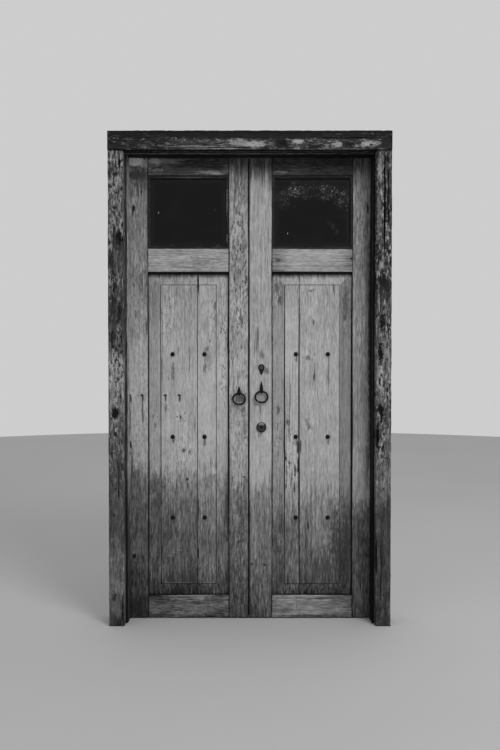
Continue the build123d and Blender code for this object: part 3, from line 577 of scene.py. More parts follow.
@dataclass(frozen=True)
class WeatheredTimber:
    """Dark bare wood, silvered where it wears.

    tones are stops along the grain, worn stops say how much of it is worn pale, and pale is the grey of
    those places. face is the part that shows, with dark rims of edge_darkening. Wood behind the frame's front is
    darker by recess_shade, and that front by front_shade. flakes says how much of the old coat still clings
    in pale and black scraps. The wood is roughest above the splash of the rain.
    """

    seed: float
    grain: Grain
    tones: Stops
    worn: Stops
    face: Rectangle
    pale: float = 0.52
    clouds: float = 1.2
    # Darkens the front face along its edges.
    edge_darkening: float = 0.75
    # recess_shade and front_shade paint the shade of the reveal: behind the frame's front and on that front.
    recess_shade: float = 0.0
    front_shade: float = 0.0
    flakes: float = 0.0
    stains: Stains = ()
    fibres: Layer = Layer(420.0, 14.0, 0.0, rough=0.6, tone=0.7, relief=0.4)
    bands: Layer = Layer(85.0, 4.0, 1.0, rough=0.6, warp=0.3, tone=0.9, relief=0.6)
    dashes: Layer = Layer(150.0, 34.0, 8.0, detail=5.0, rough=0.68, tone=1.0, relief=0.5)
    cloud: Layer = Layer(34.0, 13.0, 2.0, detail=5.0, rough=0.66)
    patches: Layer = Layer(75.0, 17.0, 3.0, detail=5.0, rough=0.66, warp=0.2)
    scraps: Layer = Layer(105.0, 34.0, 12.0, detail=5.0, rough=0.72, warp=0.5)
    outlines: Layer = Layer(120.0, 60.0, 5.0, rough=0.68)
    pits: Layer = Layer(240.0, 60.0, 6.0, relief=0.6)
    sheen: Sheen = Sheen(0.78, 0.0, 0.3, 1.6, 0.2)
    split_step: float = 9.0
    split_amount: float = 0.8
    split_shade: float = 0.75
    place_waver: float = 0.12
    splash_span: Span = (0.50, 0.95)
    rough_dashes: float = 1.2
    worn_weight: float = 0.5
    worn_span: Span = (0.14, 0.32)
    worn_cover: float = 0.85
    pale_dashes: float = 0.8
    pale_bands: float = 0.4
    scrap_least: float = 0.18
    scrap_grey: float = 0.62
    scrap_clouds: float = 0.5
    scrap_span: Span = (0.05, 0.12)
    tar_grey: float = 0.05
    tar_clouds: float = 0.4
    tar_span: Span = (0.03, 0.10)
    pit_span: Span = (0.13, 0.22)
    pit_shade: Span = (0.2, 0.4)
    rim_waver: float = 0.012
    rim_span: Span = (0.0050, 0.0005)
    rim_depth: Span = (-0.070, -0.085)
    stop_reach: float = 0.004
    recess_reach: float = 0.005
    front_reach: float = 0.002

    def material(self, name: str) -> bpy.types.Material:
        """Builds the finish."""
        net = Net(name, self.grain, self.seed)
        fibres, bands, dashes, cloud = net.noises(self.fibres, self.bands, self.dashes, self.cloud)
        place = net.axis(self.grain.value) + bands * self.place_waver
        rough = net.axis(2).ease(*self.splash_span)
        pattern = fibres * self.fibres.tone + bands * self.bands.tone + cloud * self.clouds
        pattern = pattern + dashes * (rough * self.rough_dashes + self.dashes.tone)
        tone = net.curve(place, self.tones) * (1.0 + pattern)
        worn = net.noise(self.patches) + net.curve(place, self.worn) * self.worn_weight
        pale = self.pale + dashes * self.pale_dashes + bands * self.pale_bands
        tone = tone.toward(pale, worn.ease(*self.worn_span) * self.worn_cover)
        if self.flakes:
            tone = self._scrapped(net, tone, cloud, rough)
        split = net.splits(self.split_step, self.split_amount)
        tone = tone * (1.0 - split * self.split_shade)
        ragged, pits = net.noises(self.outlines, self.pits)
        tone = net.stained(tone, self.stains, ragged)
        pits = pits.ease(*self.pit_span)
        least, more = self.pit_shade
        tone = tone * (1.0 - pits * (rough * more + least))
        tone = tone * (1.0 - self._shade(net, bands))
        relief = fibres * self.fibres.relief + bands * self.bands.relief + dashes * self.dashes.relief
        relief = relief - pits * self.pits.relief - split
        return net.surface(tone, self.sheen, relief, blotches=cloud)

    def _scrapped(self, net: Net, tone: Signal, cloud: Signal, rough: Signal) -> Signal:
        """Lays pale scraps and black ones over a tone."""
        scraps = net.noise(self.scraps)
        share = (rough + self.scrap_least).at_most(1.0) * self.flakes
        pale = (scraps + cloud * self.scrap_clouds).ease(*self.scrap_span)
        black = (cloud * self.tar_clouds - scraps).ease(*self.tar_span)
        return tone.toward(self.scrap_grey, pale * share).toward(self.tar_grey, black * share)

    def _shade(self, net: Net, bands: Signal) -> Signal:
        """Dark rims of the face, and the painted shade on the frame's front and behind it."""
        depth = net.axis(1)
        rim = (net.inside(self.face) + bands * self.rim_waver).ease(*self.rim_span) * self.edge_darkening
        rim = rim * depth.ease(*self.rim_depth)
        # Painted shade behind the frame's front and on its front strip.
        behind = depth.ease(STOP_BACK + self.stop_reach, STOP_BACK)
        deep = depth.ease(FRAME_FRONT, FRAME_FRONT + self.recess_reach) * behind * self.recess_shade
        near = depth.ease(FRAME_FRONT + self.front_reach, FRAME_FRONT) * self.front_shade
        return rim.at_least(deep).at_least(near)


@dataclass(frozen=True)
class Metal:
    """A metal surface: two layers of noise in its tone and relief, and spots of another tone that dull it.

    The spots stand where shares of their own layer and of the film pass a span together.
    """

    seed: float
    tone: float
    ground: Layer
    film: Layer
    spots: Layer
    sheen: Sheen
    spot_span: Span
    spot_grey: float
    spot_cover: float = 0.8
    spot_relief: float = -0.5
    spot_speckle: float = 0.0
    spot_shares: Span = (1.0, 0.4)
    grain: Grain = Grain.LEVEL
    stains: Stains = ()

    def material(self, name: str) -> bpy.types.Material:
        """Builds the finish."""
        net = Net(name, self.grain, self.seed)
        ground, film, spots = net.noises(self.ground, self.film, self.spots)
        own, shared = self.spot_shares
        spots = (spots * own + film * shared).ease(*self.spot_span)
        tone = self.tone + ground * self.ground.tone + film * self.film.tone
        tone = tone.toward(self.spot_grey + film * self.spot_speckle, spots * self.spot_cover)
        tone = net.stained(tone, self.stains, film)
        relief = ground * self.ground.relief + film * self.film.relief + spots * self.spot_relief
        return net.surface(tone, self.sheen, relief, spots, film)


def forged_iron(seed: float, tone: float = 0.11, rust: float = 0.5, stains: Stains = ()) -> Metal:
    """Dark forged iron with hammer marks, old rust and rubbed high spots.

    Args:
        seed: Shifts its pattern.
        tone: Grey of the clean iron.
        rust: How much of it is rusty, from 0 to 1.
        stains: Marks on its street side.

    Returns:
        The finish.
    """
    low, high, spread = 0.10, 0.16, 0.2
    hammer = Layer(160.0, 160.0, detail=2.0, tone=0.10, relief=0.8)
    scale = Layer(900.0, 900.0, 1.0, rough=0.65, tone=0.08, relief=0.3)
    sheen = Sheen(0.5, 0.35, depth=0.6, bare=0.75, bare_worn=-0.65)
    return Metal(seed, tone, hammer, scale, Layer(240.0, 240.0, 2.0), sheen,
                 spot_span=(low - spread * rust, high), spot_grey=0.25, spot_cover=0.55, spot_relief=0.2,
                 spot_speckle=0.2, stains=stains)


def rubbed_steel(seed: float) -> Metal:
    """Plain steel that slides in its guides: fine lines, dull film and a few dark spots."""
    lines = Layer(900.0, 40.0, detail=3.0, tone=0.25, relief=0.5)
    film = Layer(90.0, 90.0, 1.0, tone=0.3)
    sheen = Sheen(0.36, 0.4, 0.3, 0.15, bare=0.9, bare_worn=-0.7)
    return Metal(seed, 0.52, lines, film, Layer(420.0, 420.0, 2.0, detail=3.0), sheen,
                 spot_span=(0.14, 0.22), spot_grey=0.16, spot_shares=(1.0, 0.0), grain=Grain.UPRIGHT)


def japanned_metal(seed: float) -> Metal:
    """Black baked paint on pressed steel, chipped in places and dusty on top."""
    film = Layer(60.0, 60.0, tone=0.10, relief=0.3)
    sheen = Sheen(0.38, 0.3, 0.4, 0.2, bare_worn=0.6)
    return Metal(seed, 0.13, Layer(60.0, 60.0), film, Layer(330.0, 330.0, 1.0), sheen,
                 spot_span=(0.19, 0.23), spot_grey=0.34, spot_relief=-0.6, spot_shares=(1.0, 0.5))


def tarnished_brass(seed: float, tone: float, stains: Stains = ()) -> Metal:
    """Brass gone dull and scratched, brighter where keys and fingers rub it."""
    scratches = Layer(300.0, 1400.0, 1.0, detail=3.0, tone=0.2, relief=0.4)
    sheen = Sheen(0.42, 0.35, depth=0.12, bare=0.55, bare_worn=-0.4)
    return Metal(seed, tone, scratches, Layer(140.0, 140.0, tone=0.4), scratches, sheen,
                 spot_span=(0.05, 0.2), spot_grey=0.12, spot_cover=0.7, spot_relief=-0.3,
                 spot_shares=(0.4, 1.0), stains=stains)


@dataclass(frozen=True)
class DustyGlass:
    """A dark pane with dust in its corners and cobwebs.

    pane is the part that shows, webs are the places where cobwebs hang, and glints are painted highlights
    and reflections. The dark tone paints the unlit room behind the pane.
    """

    seed: float
    pane: Rectangle
    webs: Stains = ()
    glints: Stains = ()
    # A dark grey that paints the unlit room behind the pane.
    tone: float = 0.078
    haze: Layer = Layer(9.0, 14.0, 0.0)
    grit: Layer = Layer(700.0, 700.0, 1.0, detail=2.0)
    threads: Layer = Layer(48.0, 70.0, 2.0, detail=3.0, warp=1.2)
    knots: Layer = Layer(150.0, 150.0, 3.0)
    loose: Layer = Layer(60.0, 60.0, 4.0, detail=3.0)
    sheen: Sheen = Sheen(0.12, 0.5, depth=0.4, specular=0.16)
    grit_span: Span = (0.17, 0.24)
    grit_grey: float = 0.04
    rim_waver: float = 0.05
    rim_reach: float = 0.03
    rim_dust: float = 0.25
    haze_span: Span = (-0.05, 0.3)
    haze_dust: float = 0.2
    dust_grey: float = 0.12
    thread_span: Span = (0.020, 0.004)
    knot_span: Span = (0.50, 0.24)
    loose_span: Span = (-0.10, 0.08)
    thread_share: float = 0.40
    knot_share: float = 0.8
    veil_share: float = 0.07

    def material(self, name: str) -> bpy.types.Material:
        """Builds the finish."""
        net = Net(name, Grain.UPRIGHT, self.seed)
        haze, grit, threads, loose = net.noises(self.haze, self.grit, self.threads, self.loose)
        rim = net.inside(self.pane) + haze * self.rim_waver
        dust = rim.ease(self.rim_reach, 0.0) * self.rim_dust + haze.ease(*self.haze_span) * self.haze_dust
        tone = self.tone + dust * self.dust_grey + grit.ease(*self.grit_span) * self.grit_grey
        lines = abs(threads).ease(*self.thread_span) * self.thread_share
        knots = net.cells(self.knots).ease(*self.knot_span) * loose.ease(*self.loose_span) * self.knot_share
        share = (lines + knots + self.veil_share).at_most(1.0)
        for web in self.webs:
            tone = tone.toward(web.grey, net.mark(web, haze) * share)
        tone = net.stained(tone, self.glints, haze)
        return net.surface(tone, self.sheen, haze, dust)


Finish = Union[PaintedTimber, WeatheredTimber, Metal, DustyGlass]


def node_body(node: str) -> str:
    """Name of the body that a node moves with."""
    for body, nodes in frame["record"]["behaviour"]["bodies"].items():
        if node in nodes:
            return body
    raise KeyError(node)


def publish(shape: bmesh.types.BMesh, name: str, nodes: tuple[str, ...], material: bpy.types.Material,
            smooth: bool = False) -> bpy.types.Object:
    """Turns a shape into a piece that stands for nodes of the frame.

    Args:
        shape: The shape. It is freed.
        name: Name of the piece.
        nodes: Nodes that it stands for. They all move with the same body.
        material: Its finish.
        smooth: Whether rounded faces are shaded as one surface.

    Returns:
        The new object.
    """
    mesh = bpy.data.meshes.new(name)
    shape.to_mesh(mesh)
    shape.free()
    made = bpy.data.objects.new(name, mesh)
    bpy.context.scene.collection.objects.link(made)
    mesh.materials.append(material)
    if smooth:
        mesh.shade_smooth()
        mesh.set_sharp_from_angle(angle=SMOOTH_ANGLE)
        weighted = made.modifiers.new("weighted_normals", "WEIGHTED_NORMAL")
        weighted.keep_sharp = True
    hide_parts(*nodes)
    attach(made, node_body(nodes[0]))
    LOG.info("%s: %d faces for %s", name, len(mesh.polygons), ", ".join(nodes))
    return made


def merged_copy(node: str) -> bmesh.types.BMesh:
    """Copies a node's mesh, merges its loose triangles and joins those that lie in one plane."""
    shape = bmesh.new()
    shape.from_mesh(frame["nodes"][node].data)
    bmesh.ops.remove_doubles(shape, verts=shape.verts, dist=MERGE_DISTANCE)
    bmesh.ops.dissolve_limit(shape, angle_limit=FLAT_ANGLE, verts=shape.verts, edges=shape.edges)
    return shape


def soften(shape: bmesh.types.BMesh, width: float,
           keep: Callable[[bmesh.types.BMEdge], bool] | None = None) -> list[bmesh.types.BMFace]:
    """Rounds the sharp outer edges of a shape.

    Args:
        shape: The shape.
        width: Width of the rounding.
        keep: Says which of the sharp edges are rounded; all of them without it.

    Returns:
        The new faces.
    """
    edges = [edge for edge in shape.edges
             if edge.is_manifold and edge.is_convex and edge.calc_face_angle(0.0) > SHARP_ANGLE
             and (keep is None or keep(edge))]
    if not edges:
        return []
    made = bmesh.ops.bevel(shape, geom=edges, offset=width, offset_type="OFFSET", segments=ARRIS_FACETS,
                           profile=0.5, affect="EDGES", material=-1, clamp_overlap=True)
    return made["faces"]


def cut_across(shape: bmesh.types.BMesh, axis: int, pitch: float) -> None:
    """Cuts a shape at even steps along an axis, so that its faces can bend between them."""
    places = [vertex.co[axis] for vertex in shape.verts]
    low, high = min(places), max(places)
    count = max(1, round((high - low) / pitch))
    normal = Vector((0.0, 0.0, 0.0))
    normal[axis] = 1.0
    for step in range(1, count):
        point = normal * (low + (high - low) * step / count)
        geometry = list(shape.verts) + list(shape.edges) + list(shape.faces)
        bmesh.ops.bisect_plane(shape, geom=geometry, plane_co=point, plane_no=normal, dist=MERGE_DISTANCE)


@dataclass
class Joinery:
    """A timber piece of the leaves or the frame, made from its solid with worn arrises.

    lead is how far a meeting edge slopes out to its back, towards +X where it is positive. arris is the
    width of the rounding, which wears down by wear in patches, and most of all at the foot. The piece is cut
    at every pitch, so that it can wear unevenly.
    """

    node: str
    finish: Finish
    slot: Slot
    grain: Grain
    arris: float = 0.0016
    wear: float = 0.0011
    pitch: float = 0.028
    lead: float = 0.0
    along_grain: float = 0.99
    shortest_edge: float = 0.02
    near_face: float = 0.0005
    near_meeting: float = 0.0003
    wear_pitch: float = 23.0
    wear_base: float = 0.25
    foot_wear: float = 2.0
    foot_reach: float = 0.08

    def build(self) -> bpy.types.Object:
        """Rounds, cuts and wears the piece and puts it in its place."""
        low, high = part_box(self.node)
        shape = merged_copy(self.node)
        if self.lead:
            self._slope_meeting_edge(shape, low, high)
        mark = shape.faces.layers.int.new("arris")
        for face in soften(shape, self.arris, lambda edge: self._outer(edge, low, high)):
            face[mark] = 1
        cut_across(shape, self.grain.value, self.pitch)
        self._wear(shape, mark)
        material = self.finish.material(self.node)
        return publish(shape, self.node + "_timber", (self.node,), material)

    def _meeting(self, low: Vector, high: Vector) -> float:
        """Place of the side that meets the other leaf."""
        return high.x if self.lead > 0.0 else low.x

    def _slope_meeting_edge(self, shape: bmesh.types.BMesh, low: Vector, high: Vector) -> None:
        """Planes the meeting edge to a slope, so that the leaves all but touch on the inside."""
        meeting = self._meeting(low, high)
        for vertex in shape.verts:
            if abs(vertex.co.x - meeting) < self.near_meeting:
                vertex.co.x += self.lead * (vertex.co.y - low.y) / (high.y - low.y)

    def _outer(self, edge: bmesh.types.BMEdge, low: Vector, high: Vector) -> bool:
        """Tells whether an edge runs along the grain on the front or the back of the piece."""
        along = (edge.verts[0].co - edge.verts[1].co).normalized()
        if abs(along[self.grain.value]) < self.along_grain or edge.calc_length() < self.shortest_edge:
            return False
        depth = edge.verts[0].co.y
        if self.lead and depth > (low.y + high.y) / 2:
            if abs(edge.verts[0].co.x - self._meeting(low, high)) < 2.0 * abs(self.lead):
                return False
        return min(abs(depth - low.y), abs(depth - high.y)) < self.near_face

    def _wear(self, shape: bmesh.types.BMesh, mark: Any) -> None:
        """Moves the arrises inwards by an uneven amount, most of all near the floor."""
        shape.normal_update()
        worn = {vertex for face in shape.faces if face[mark] for vertex in face.verts}
        for vertex in worn:
            amount = max(0.0, noise.noise(vertex.co * self.wear_pitch) + self.wear_base) * self.wear
            amount *= 1.0 + self.foot_wear * math.exp(-vertex.co.z / self.foot_reach)
            vertex.co -= vertex.normal * amount


@dataclass(frozen=True)
class Unevenness:
    """Noise in the shape of a plank: its frequencies per metre, and the layer of it that is taken."""

    across: float
    along: float
    layer: float = 0.0

    def at(self, across: float, along: float, depth: float = 0.0) -> float:
        """Value between -1 and 1 at a place of the plank."""
        level = self.layer + depth * self.across
        return noise.noise(Vector((across * self.across, level, along * self.along)))


@dataclass(frozen=True)
class Split:
    """A split in a plank: where it runs across and along, how wide and deep it opens, and how it wanders."""

    across: float
    start: float
    end: float
    width: float = 0.0022
    depth: float = 0.007
    wander: float = 0.003
    bends: Unevenness = Unevenness(5.0, 9.0)
    openings: Unevenness = Unevenness(1.0, 21.0, 4.0)
    taper: float = 6.0
    least_width: float = 0.7
    more_width: float = 0.6

    def sunk(self, across: float, along: float) -> float:
        """Depth that the split gives a point."""
        if not self.start < along < self.end:
            return 0.0
        share = (along - self.start) / (self.end - self.start)
        line = self.across + self.wander * self.bends.at(self.across, along)
        taper = min(1.0, self.taper * share, self.taper * (1.0 - share))
        opening = self.width * (self.least_width + self.more_width * abs(self.openings.at(1.0, along)))
        return self.depth * taper * math.exp(-((across - line) / opening) ** 2)


@dataclass(frozen=True)
class Hollow:
    """Wood that is lost: an uneven bowl at a place across and along the plank."""

    across: float
    along: float
    half_across: float
    half_along: float
    depth: float
    outline: Unevenness = Unevenness(120.0, 60.0, 1.0)
    floor: Unevenness = Unevenness(300.0, 150.0, 2.0)
    ragged: float = 0.45
    steepness: float = 2.0
    least_depth: float = 0.75
    more_depth: float = 0.5

    def sunk(self, across: float, along: float) -> float:
        """Depth that the lost wood gives a point."""
        reach = math.hypot((across - self.across) / self.half_across, (along - self.along) / self.half_along)
        ragged = self.ragged * self.outline.at(across, along)
        share = max(0.0, min(1.0, (1.0 - reach + ragged) * self.steepness))
        return self.depth * share * (self.least_depth + self.more_depth * self.floor.at(across, along))


@dataclass(frozen=True)
class Burr:
    """A knot: a ring of cracks like petals round a sunk heart."""

    across: float
    along: float
    radius: float
    height: float = 0.004
    petals: int = 7
    twists: Unevenness = Unevenness(70.0, 70.0)
    reach: float = 1.3
    twist: float = 4.0
    ring_place: float = 0.62
    ring_width: float = 0.30
    heart_width: float = 0.26

    def sunk(self, across: float, along: float) -> float:
        """Depth that the knot gives a point."""
        aside, up = across - self.across, along - self.along
        reach = math.hypot(aside, up) / self.radius
        if reach > self.reach:
            return 0.0
        turn = math.atan2(up, aside) * self.petals + self.twist * self.twists.at(aside, up)
        petals = 0.5 + 0.5 * math.cos(turn)
        ring = math.exp(-((reach - self.ring_place) / self.ring_width) ** 2)
        heart = math.exp(-(reach / self.heart_width) ** 2)
        return self.height * (ring * petals + heart)


@dataclass
class SurroundPlank:
    """A plank of the surround: its front is cut fine and carved by weather, splits and knots.

    The grain stands in ridges and the face waves a little. Within arris of the edges the front is worn by
    edge_wear and broken by chips and bites.
    """

    node: str
    finish: WeatheredTimber
    grain: Grain
    splits: tuple[Split, ...] = ()
    hollows: tuple[Hollow, ...] = ()
    burrs: tuple[Burr, ...] = ()
    pitch_along: float = 0.0065
    pitch_across: float = 0.0022
    pitch_depth: float = 0.0042
    arris: float = 0.006
    front_depth: float = 0.012
    ridges: Unevenness = Unevenness(260.0, 5.0)
    waves: Unevenness = Unevenness(14.0, 2.6)
    chips: Unevenness = Unevenness(9.0, 11.0, 3.0)
    bites: Unevenness = Unevenness(40.0, 45.0, 7.0)
    ridge_depth: float = 0.0006
    ridge_base: float = 0.6
    wave_depth: float = 0.0009
    edge_wear: float = 0.0014
    chip_depth: float = 0.004
    chip_base: float = 0.1
    bite_depth: float = 0.0025

    def build(self) -> bpy.types.Object:
        """Cuts a block into a fine net, carves it and puts it in its place."""
        self.low, self.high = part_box(self.node)
        size = self.high - self.low
        shape = bmesh.new()
        block = Matrix.Translation((self.low + self.high) / 2) @ Matrix.Diagonal((*size, 1.0))
        bmesh.ops.create_cube(shape, size=1.0, matrix=block)
        for axis in (self.grain.value, self.grain.across, 1):
            self._subdivide(shape, axis, size[axis])
        shape.normal_update()
        moves = [(vertex, vertex.normal * self._depth(vertex)) for vertex in shape.verts]
        for vertex, move in moves:
            vertex.co -= move
        return publish(shape, self.node + "_plank", (self.node,), self.finish.material(self.node))

    def _subdivide(self, shape: bmesh.types.BMesh, axis: int, size: float) -> None:
        """Cuts every edge that runs along an axis."""
        if axis == self.grain.value:
            pitch = self.pitch_along
        else:
            pitch = self.pitch_depth if axis == 1 else self.pitch_across
        edges = [edge for edge in shape.edges
                 if abs(edge.verts[0].co[axis] - edge.verts[1].co[axis]) > size / 2]
        bmesh.ops.subdivide_edges(shape, edges=edges, cuts=max(1, round(size / pitch)), use_grid_fill=True)

    def _depth(self, vertex: bmesh.types.BMVert) -> float:
        """How far a point of the plank has sunk below its first surface."""
        place = vertex.co
        along, across = place[self.grain.value], place[self.grain.across]
        front = max(0.0, 1.0 - (place.y - self.low.y) / self.front_depth)
        depth = self.ridge_depth * (self.ridges.at(across, along, place.y) + self.ridge_base)
        depth += self.wave_depth * max(0.0, self.waves.at(across, along, place.y))
        edge = min(across - self.low[self.grain.across], self.high[self.grain.across] - across)
        broken = self.edge_wear + self.chip_depth * max(0.0, self.chips.at(across, along) + self.chip_base)
        broken += self.bite_depth * max(0.0, self.bites.at(across, along))
        depth += front * max(0.0, 1.0 - edge / self.arris) * broken
        if front > 0.0:
            flaws = (*self.splits, *self.hollows, *self.burrs)
            depth += front * sum(flaw.sunk(across, along) for flaw in flaws)
        return max(0.0, depth)


@dataclass(frozen=True)
class Dents:
    """Shallow dents: how close they stand, how much of the surface they take, and how deep they are."""

    pitch: float
    base: float
    depth: float

    def press(self, verts: Iterable[bmesh.types.BMVert], shift: float = 0.0) -> None:
        """Presses the dents into a surface.

        Args:
            verts: Points of the surface.
            shift: Moves the pattern.
        """
        for vertex in verts:
            place = vertex.co * self.pitch + Vector((shift, 0.0, 0.0))
            vertex.co -= vertex.normal * self.depth * max(0.0, noise.noise(place) + self.base)


@dataclass
class Ironwork:
    """A metal piece made from its solid, with its edges broken by the file and its faces dented."""

    node: str
    finish: Finish
    slot: Slot
    edge: float = 0.0004
    dents: Dents | None = None

    def build(self) -> bpy.types.Object:
        """Breaks the edges, dents the faces and puts the piece in its place."""
        shape = merged_copy(self.node)
        soften(shape, self.edge)
        if self.dents:
            shape.normal_update()
            self.dents.press(shape.verts)
        return publish(shape, self.node + "_metal", (self.node,), self.finish.material(self.node),
                       smooth=True)


@dataclass
class RingPull:
    """An oval ring forged from round bar: two half turns and two short straight lengths."""

    node: str
    seed: float
    turn_steps: int = 40
    bar_steps: int = 20
    waver: Dents = Dents(90.0, 0.3, 0.00045)

    def build(self) -> bpy.types.Object:
        """Turns the bar round, wavers its surface and hangs it in its place."""
        low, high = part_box(self.node)
        bar = (high.y - low.y) / 2
        bend = (high.z - low.z) / 2 - bar
        straight = (high.x - low.x) / 2 - bar - bend
        middle = (low + high) / 2
        shape = bmesh.new()
        start = Matrix.Translation(middle + Vector((straight, 0.0, bend)))
        ring = bmesh.ops.create_circle(shape, segments=self.bar_steps, radius=bar,
                                       matrix=start @ Matrix.Rotation(math.pi / 2, 4, "Y"))
        edges = {edge for vertex in ring["verts"] for edge in vertex.link_edges}
        for side in (1.0, -1.0):
            edges = self._half_turn(shape, edges, middle + Vector((side * straight, 0.0, 0.0)))
            edges = self._straight(shape, edges, -2.0 * side * straight)
        bmesh.ops.remove_doubles(shape, verts=shape.verts, dist=MERGE_DISTANCE * 5)
        bmesh.ops.recalc_face_normals(shape, faces=shape.faces)
        shape.normal_update()
        self.waver.press(shape.verts, self.seed)
        material = forged_iron(self.seed, tone=0.10, rust=0.3).material(self.node)
        return publish(shape, self.node + "_forged", (self.node,), material, smooth=True)

    def _half_turn(self, shape: bmesh.types.BMesh, edges: Iterable[bmesh.types.BMEdge],
                   centre: Vector) -> list[bmesh.types.BMEdge]:
        """Spins the open end of the bar half round and gives its new end."""
        verts = {vertex for edge in edges for vertex in edge.verts}
        made = bmesh.ops.spin(shape, geom=list(verts) + list(edges), cent=centre, axis=(0.0, 1.0, 0.0),
                              angle=math.pi, steps=self.turn_steps, use_merge=False)
        return [part for part in made["geom_last"] if isinstance(part, bmesh.types.BMEdge)]

    @staticmethod
    def _straight(shape: bmesh.types.BMesh, edges: list[bmesh.types.BMEdge],
                  length: float) -> list[bmesh.types.BMEdge]:
        """Draws the open end of the bar out along X and gives its new end."""
        made = bmesh.ops.extrude_edge_only(shape, edges=edges)["geom"]
        verts = [part for part in made if isinstance(part, bmesh.types.BMVert)]
        bmesh.ops.translate(shape, verts=verts, vec=(length, 0.0, 0.0))
        return [part for part in made if isinstance(part, bmesh.types.BMEdge)
                and all(vertex in verts for vertex in part.verts)]


@dataclass
class DomedNails:
    """The big nails of a leaf: hammered domes on the boards with shanks behind them."""

    node: str
    seed: float
    head_radius: float = 0.010
    head_rise: float = 0.006
    shank_radius: float = 0.0025
    columns: tuple[float, float] = (0.0, 0.0)
    rows: tuple[float, ...] = NAIL_ROWS
    face: float = 0.003
    head_sides: int = 20
    head_rings: int = 14
    shank_sides: int = 12
    shank_taper: float = 0.5
    dents: Dents = Dents(210.0, 0.25, 0.0007)

    def build(self) -> bpy.types.Object:
        """Makes every nail in its place."""
        shape = bmesh.new()
        low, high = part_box(self.node)
        for x in self.columns:
            for z in self.rows:
                self._head(shape, Vector((x, self.face, z)))
                self._shank(shape, Vector((x, (self.face + high.y) / 2, z)), high.y - self.face)
        shape.normal_update()
        self.dents.press(vertex for vertex in shape.verts if vertex.co.y < self.face)
        material = forged_iron(self.seed, tone=0.075, rust=0.2).material(self.node)
        return publish(shape, self.node + "_forged", (self.node,), material, smooth=True)

    def _head(self, shape: bmesh.types.BMesh, place: Vector) -> None:
        """Halves a flattened ball and closes its back."""
        flat = Matrix.Diagonal((self.head_radius, self.head_rise, self.head_radius, 1.0))
        ball = bmesh.ops.create_uvsphere(shape, u_segments=self.head_sides, v_segments=self.head_rings,
                                         radius=1.0, matrix=Matrix.Translation(place) @ flat)
        verts = ball["verts"]
        edges = {edge for vertex in verts for edge in vertex.link_edges}
        faces = {face for vertex in verts for face in vertex.link_faces}
        geometry = verts + list(edges | faces)
        cut = bmesh.ops.bisect_plane(shape, geom=geometry, plane_co=place, plane_no=(0.0, 1.0, 0.0),
                                     dist=MERGE_DISTANCE, clear_outer=True)
        rim = [part for part in cut["geom_cut"] if isinstance(part, bmesh.types.BMEdge)]
        bmesh.ops.holes_fill(shape, edges=rim)

    def _shank(self, shape: bmesh.types.BMesh, place: Vector, length: float) -> None:
        """Makes the shank that runs into the batten."""
        turn = Matrix.Translation(place) @ Matrix.Rotation(math.pi / 2, 4, "X")
        bmesh.ops.create_cone(shape, cap_ends=True, segments=self.shank_sides,
                              radius1=self.shank_radius * self.shank_taper, radius2=self.shank_radius,
                              depth=length, matrix=turn)


def shown_box(node: str) -> Rectangle:
    """The rectangle that a node fills, seen from the street."""
    low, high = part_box(node)
    return Rectangle(low.x, high.x, low.z, high.z)


def three_tones(box: Rectangle, left: float, middle: float, right: float) -> Stops:
    """Tones at the left side, the middle and the right side of a rectangle."""
    return (box.left, left), (box.left / 2 + box.right / 2, middle), (box.right, right)


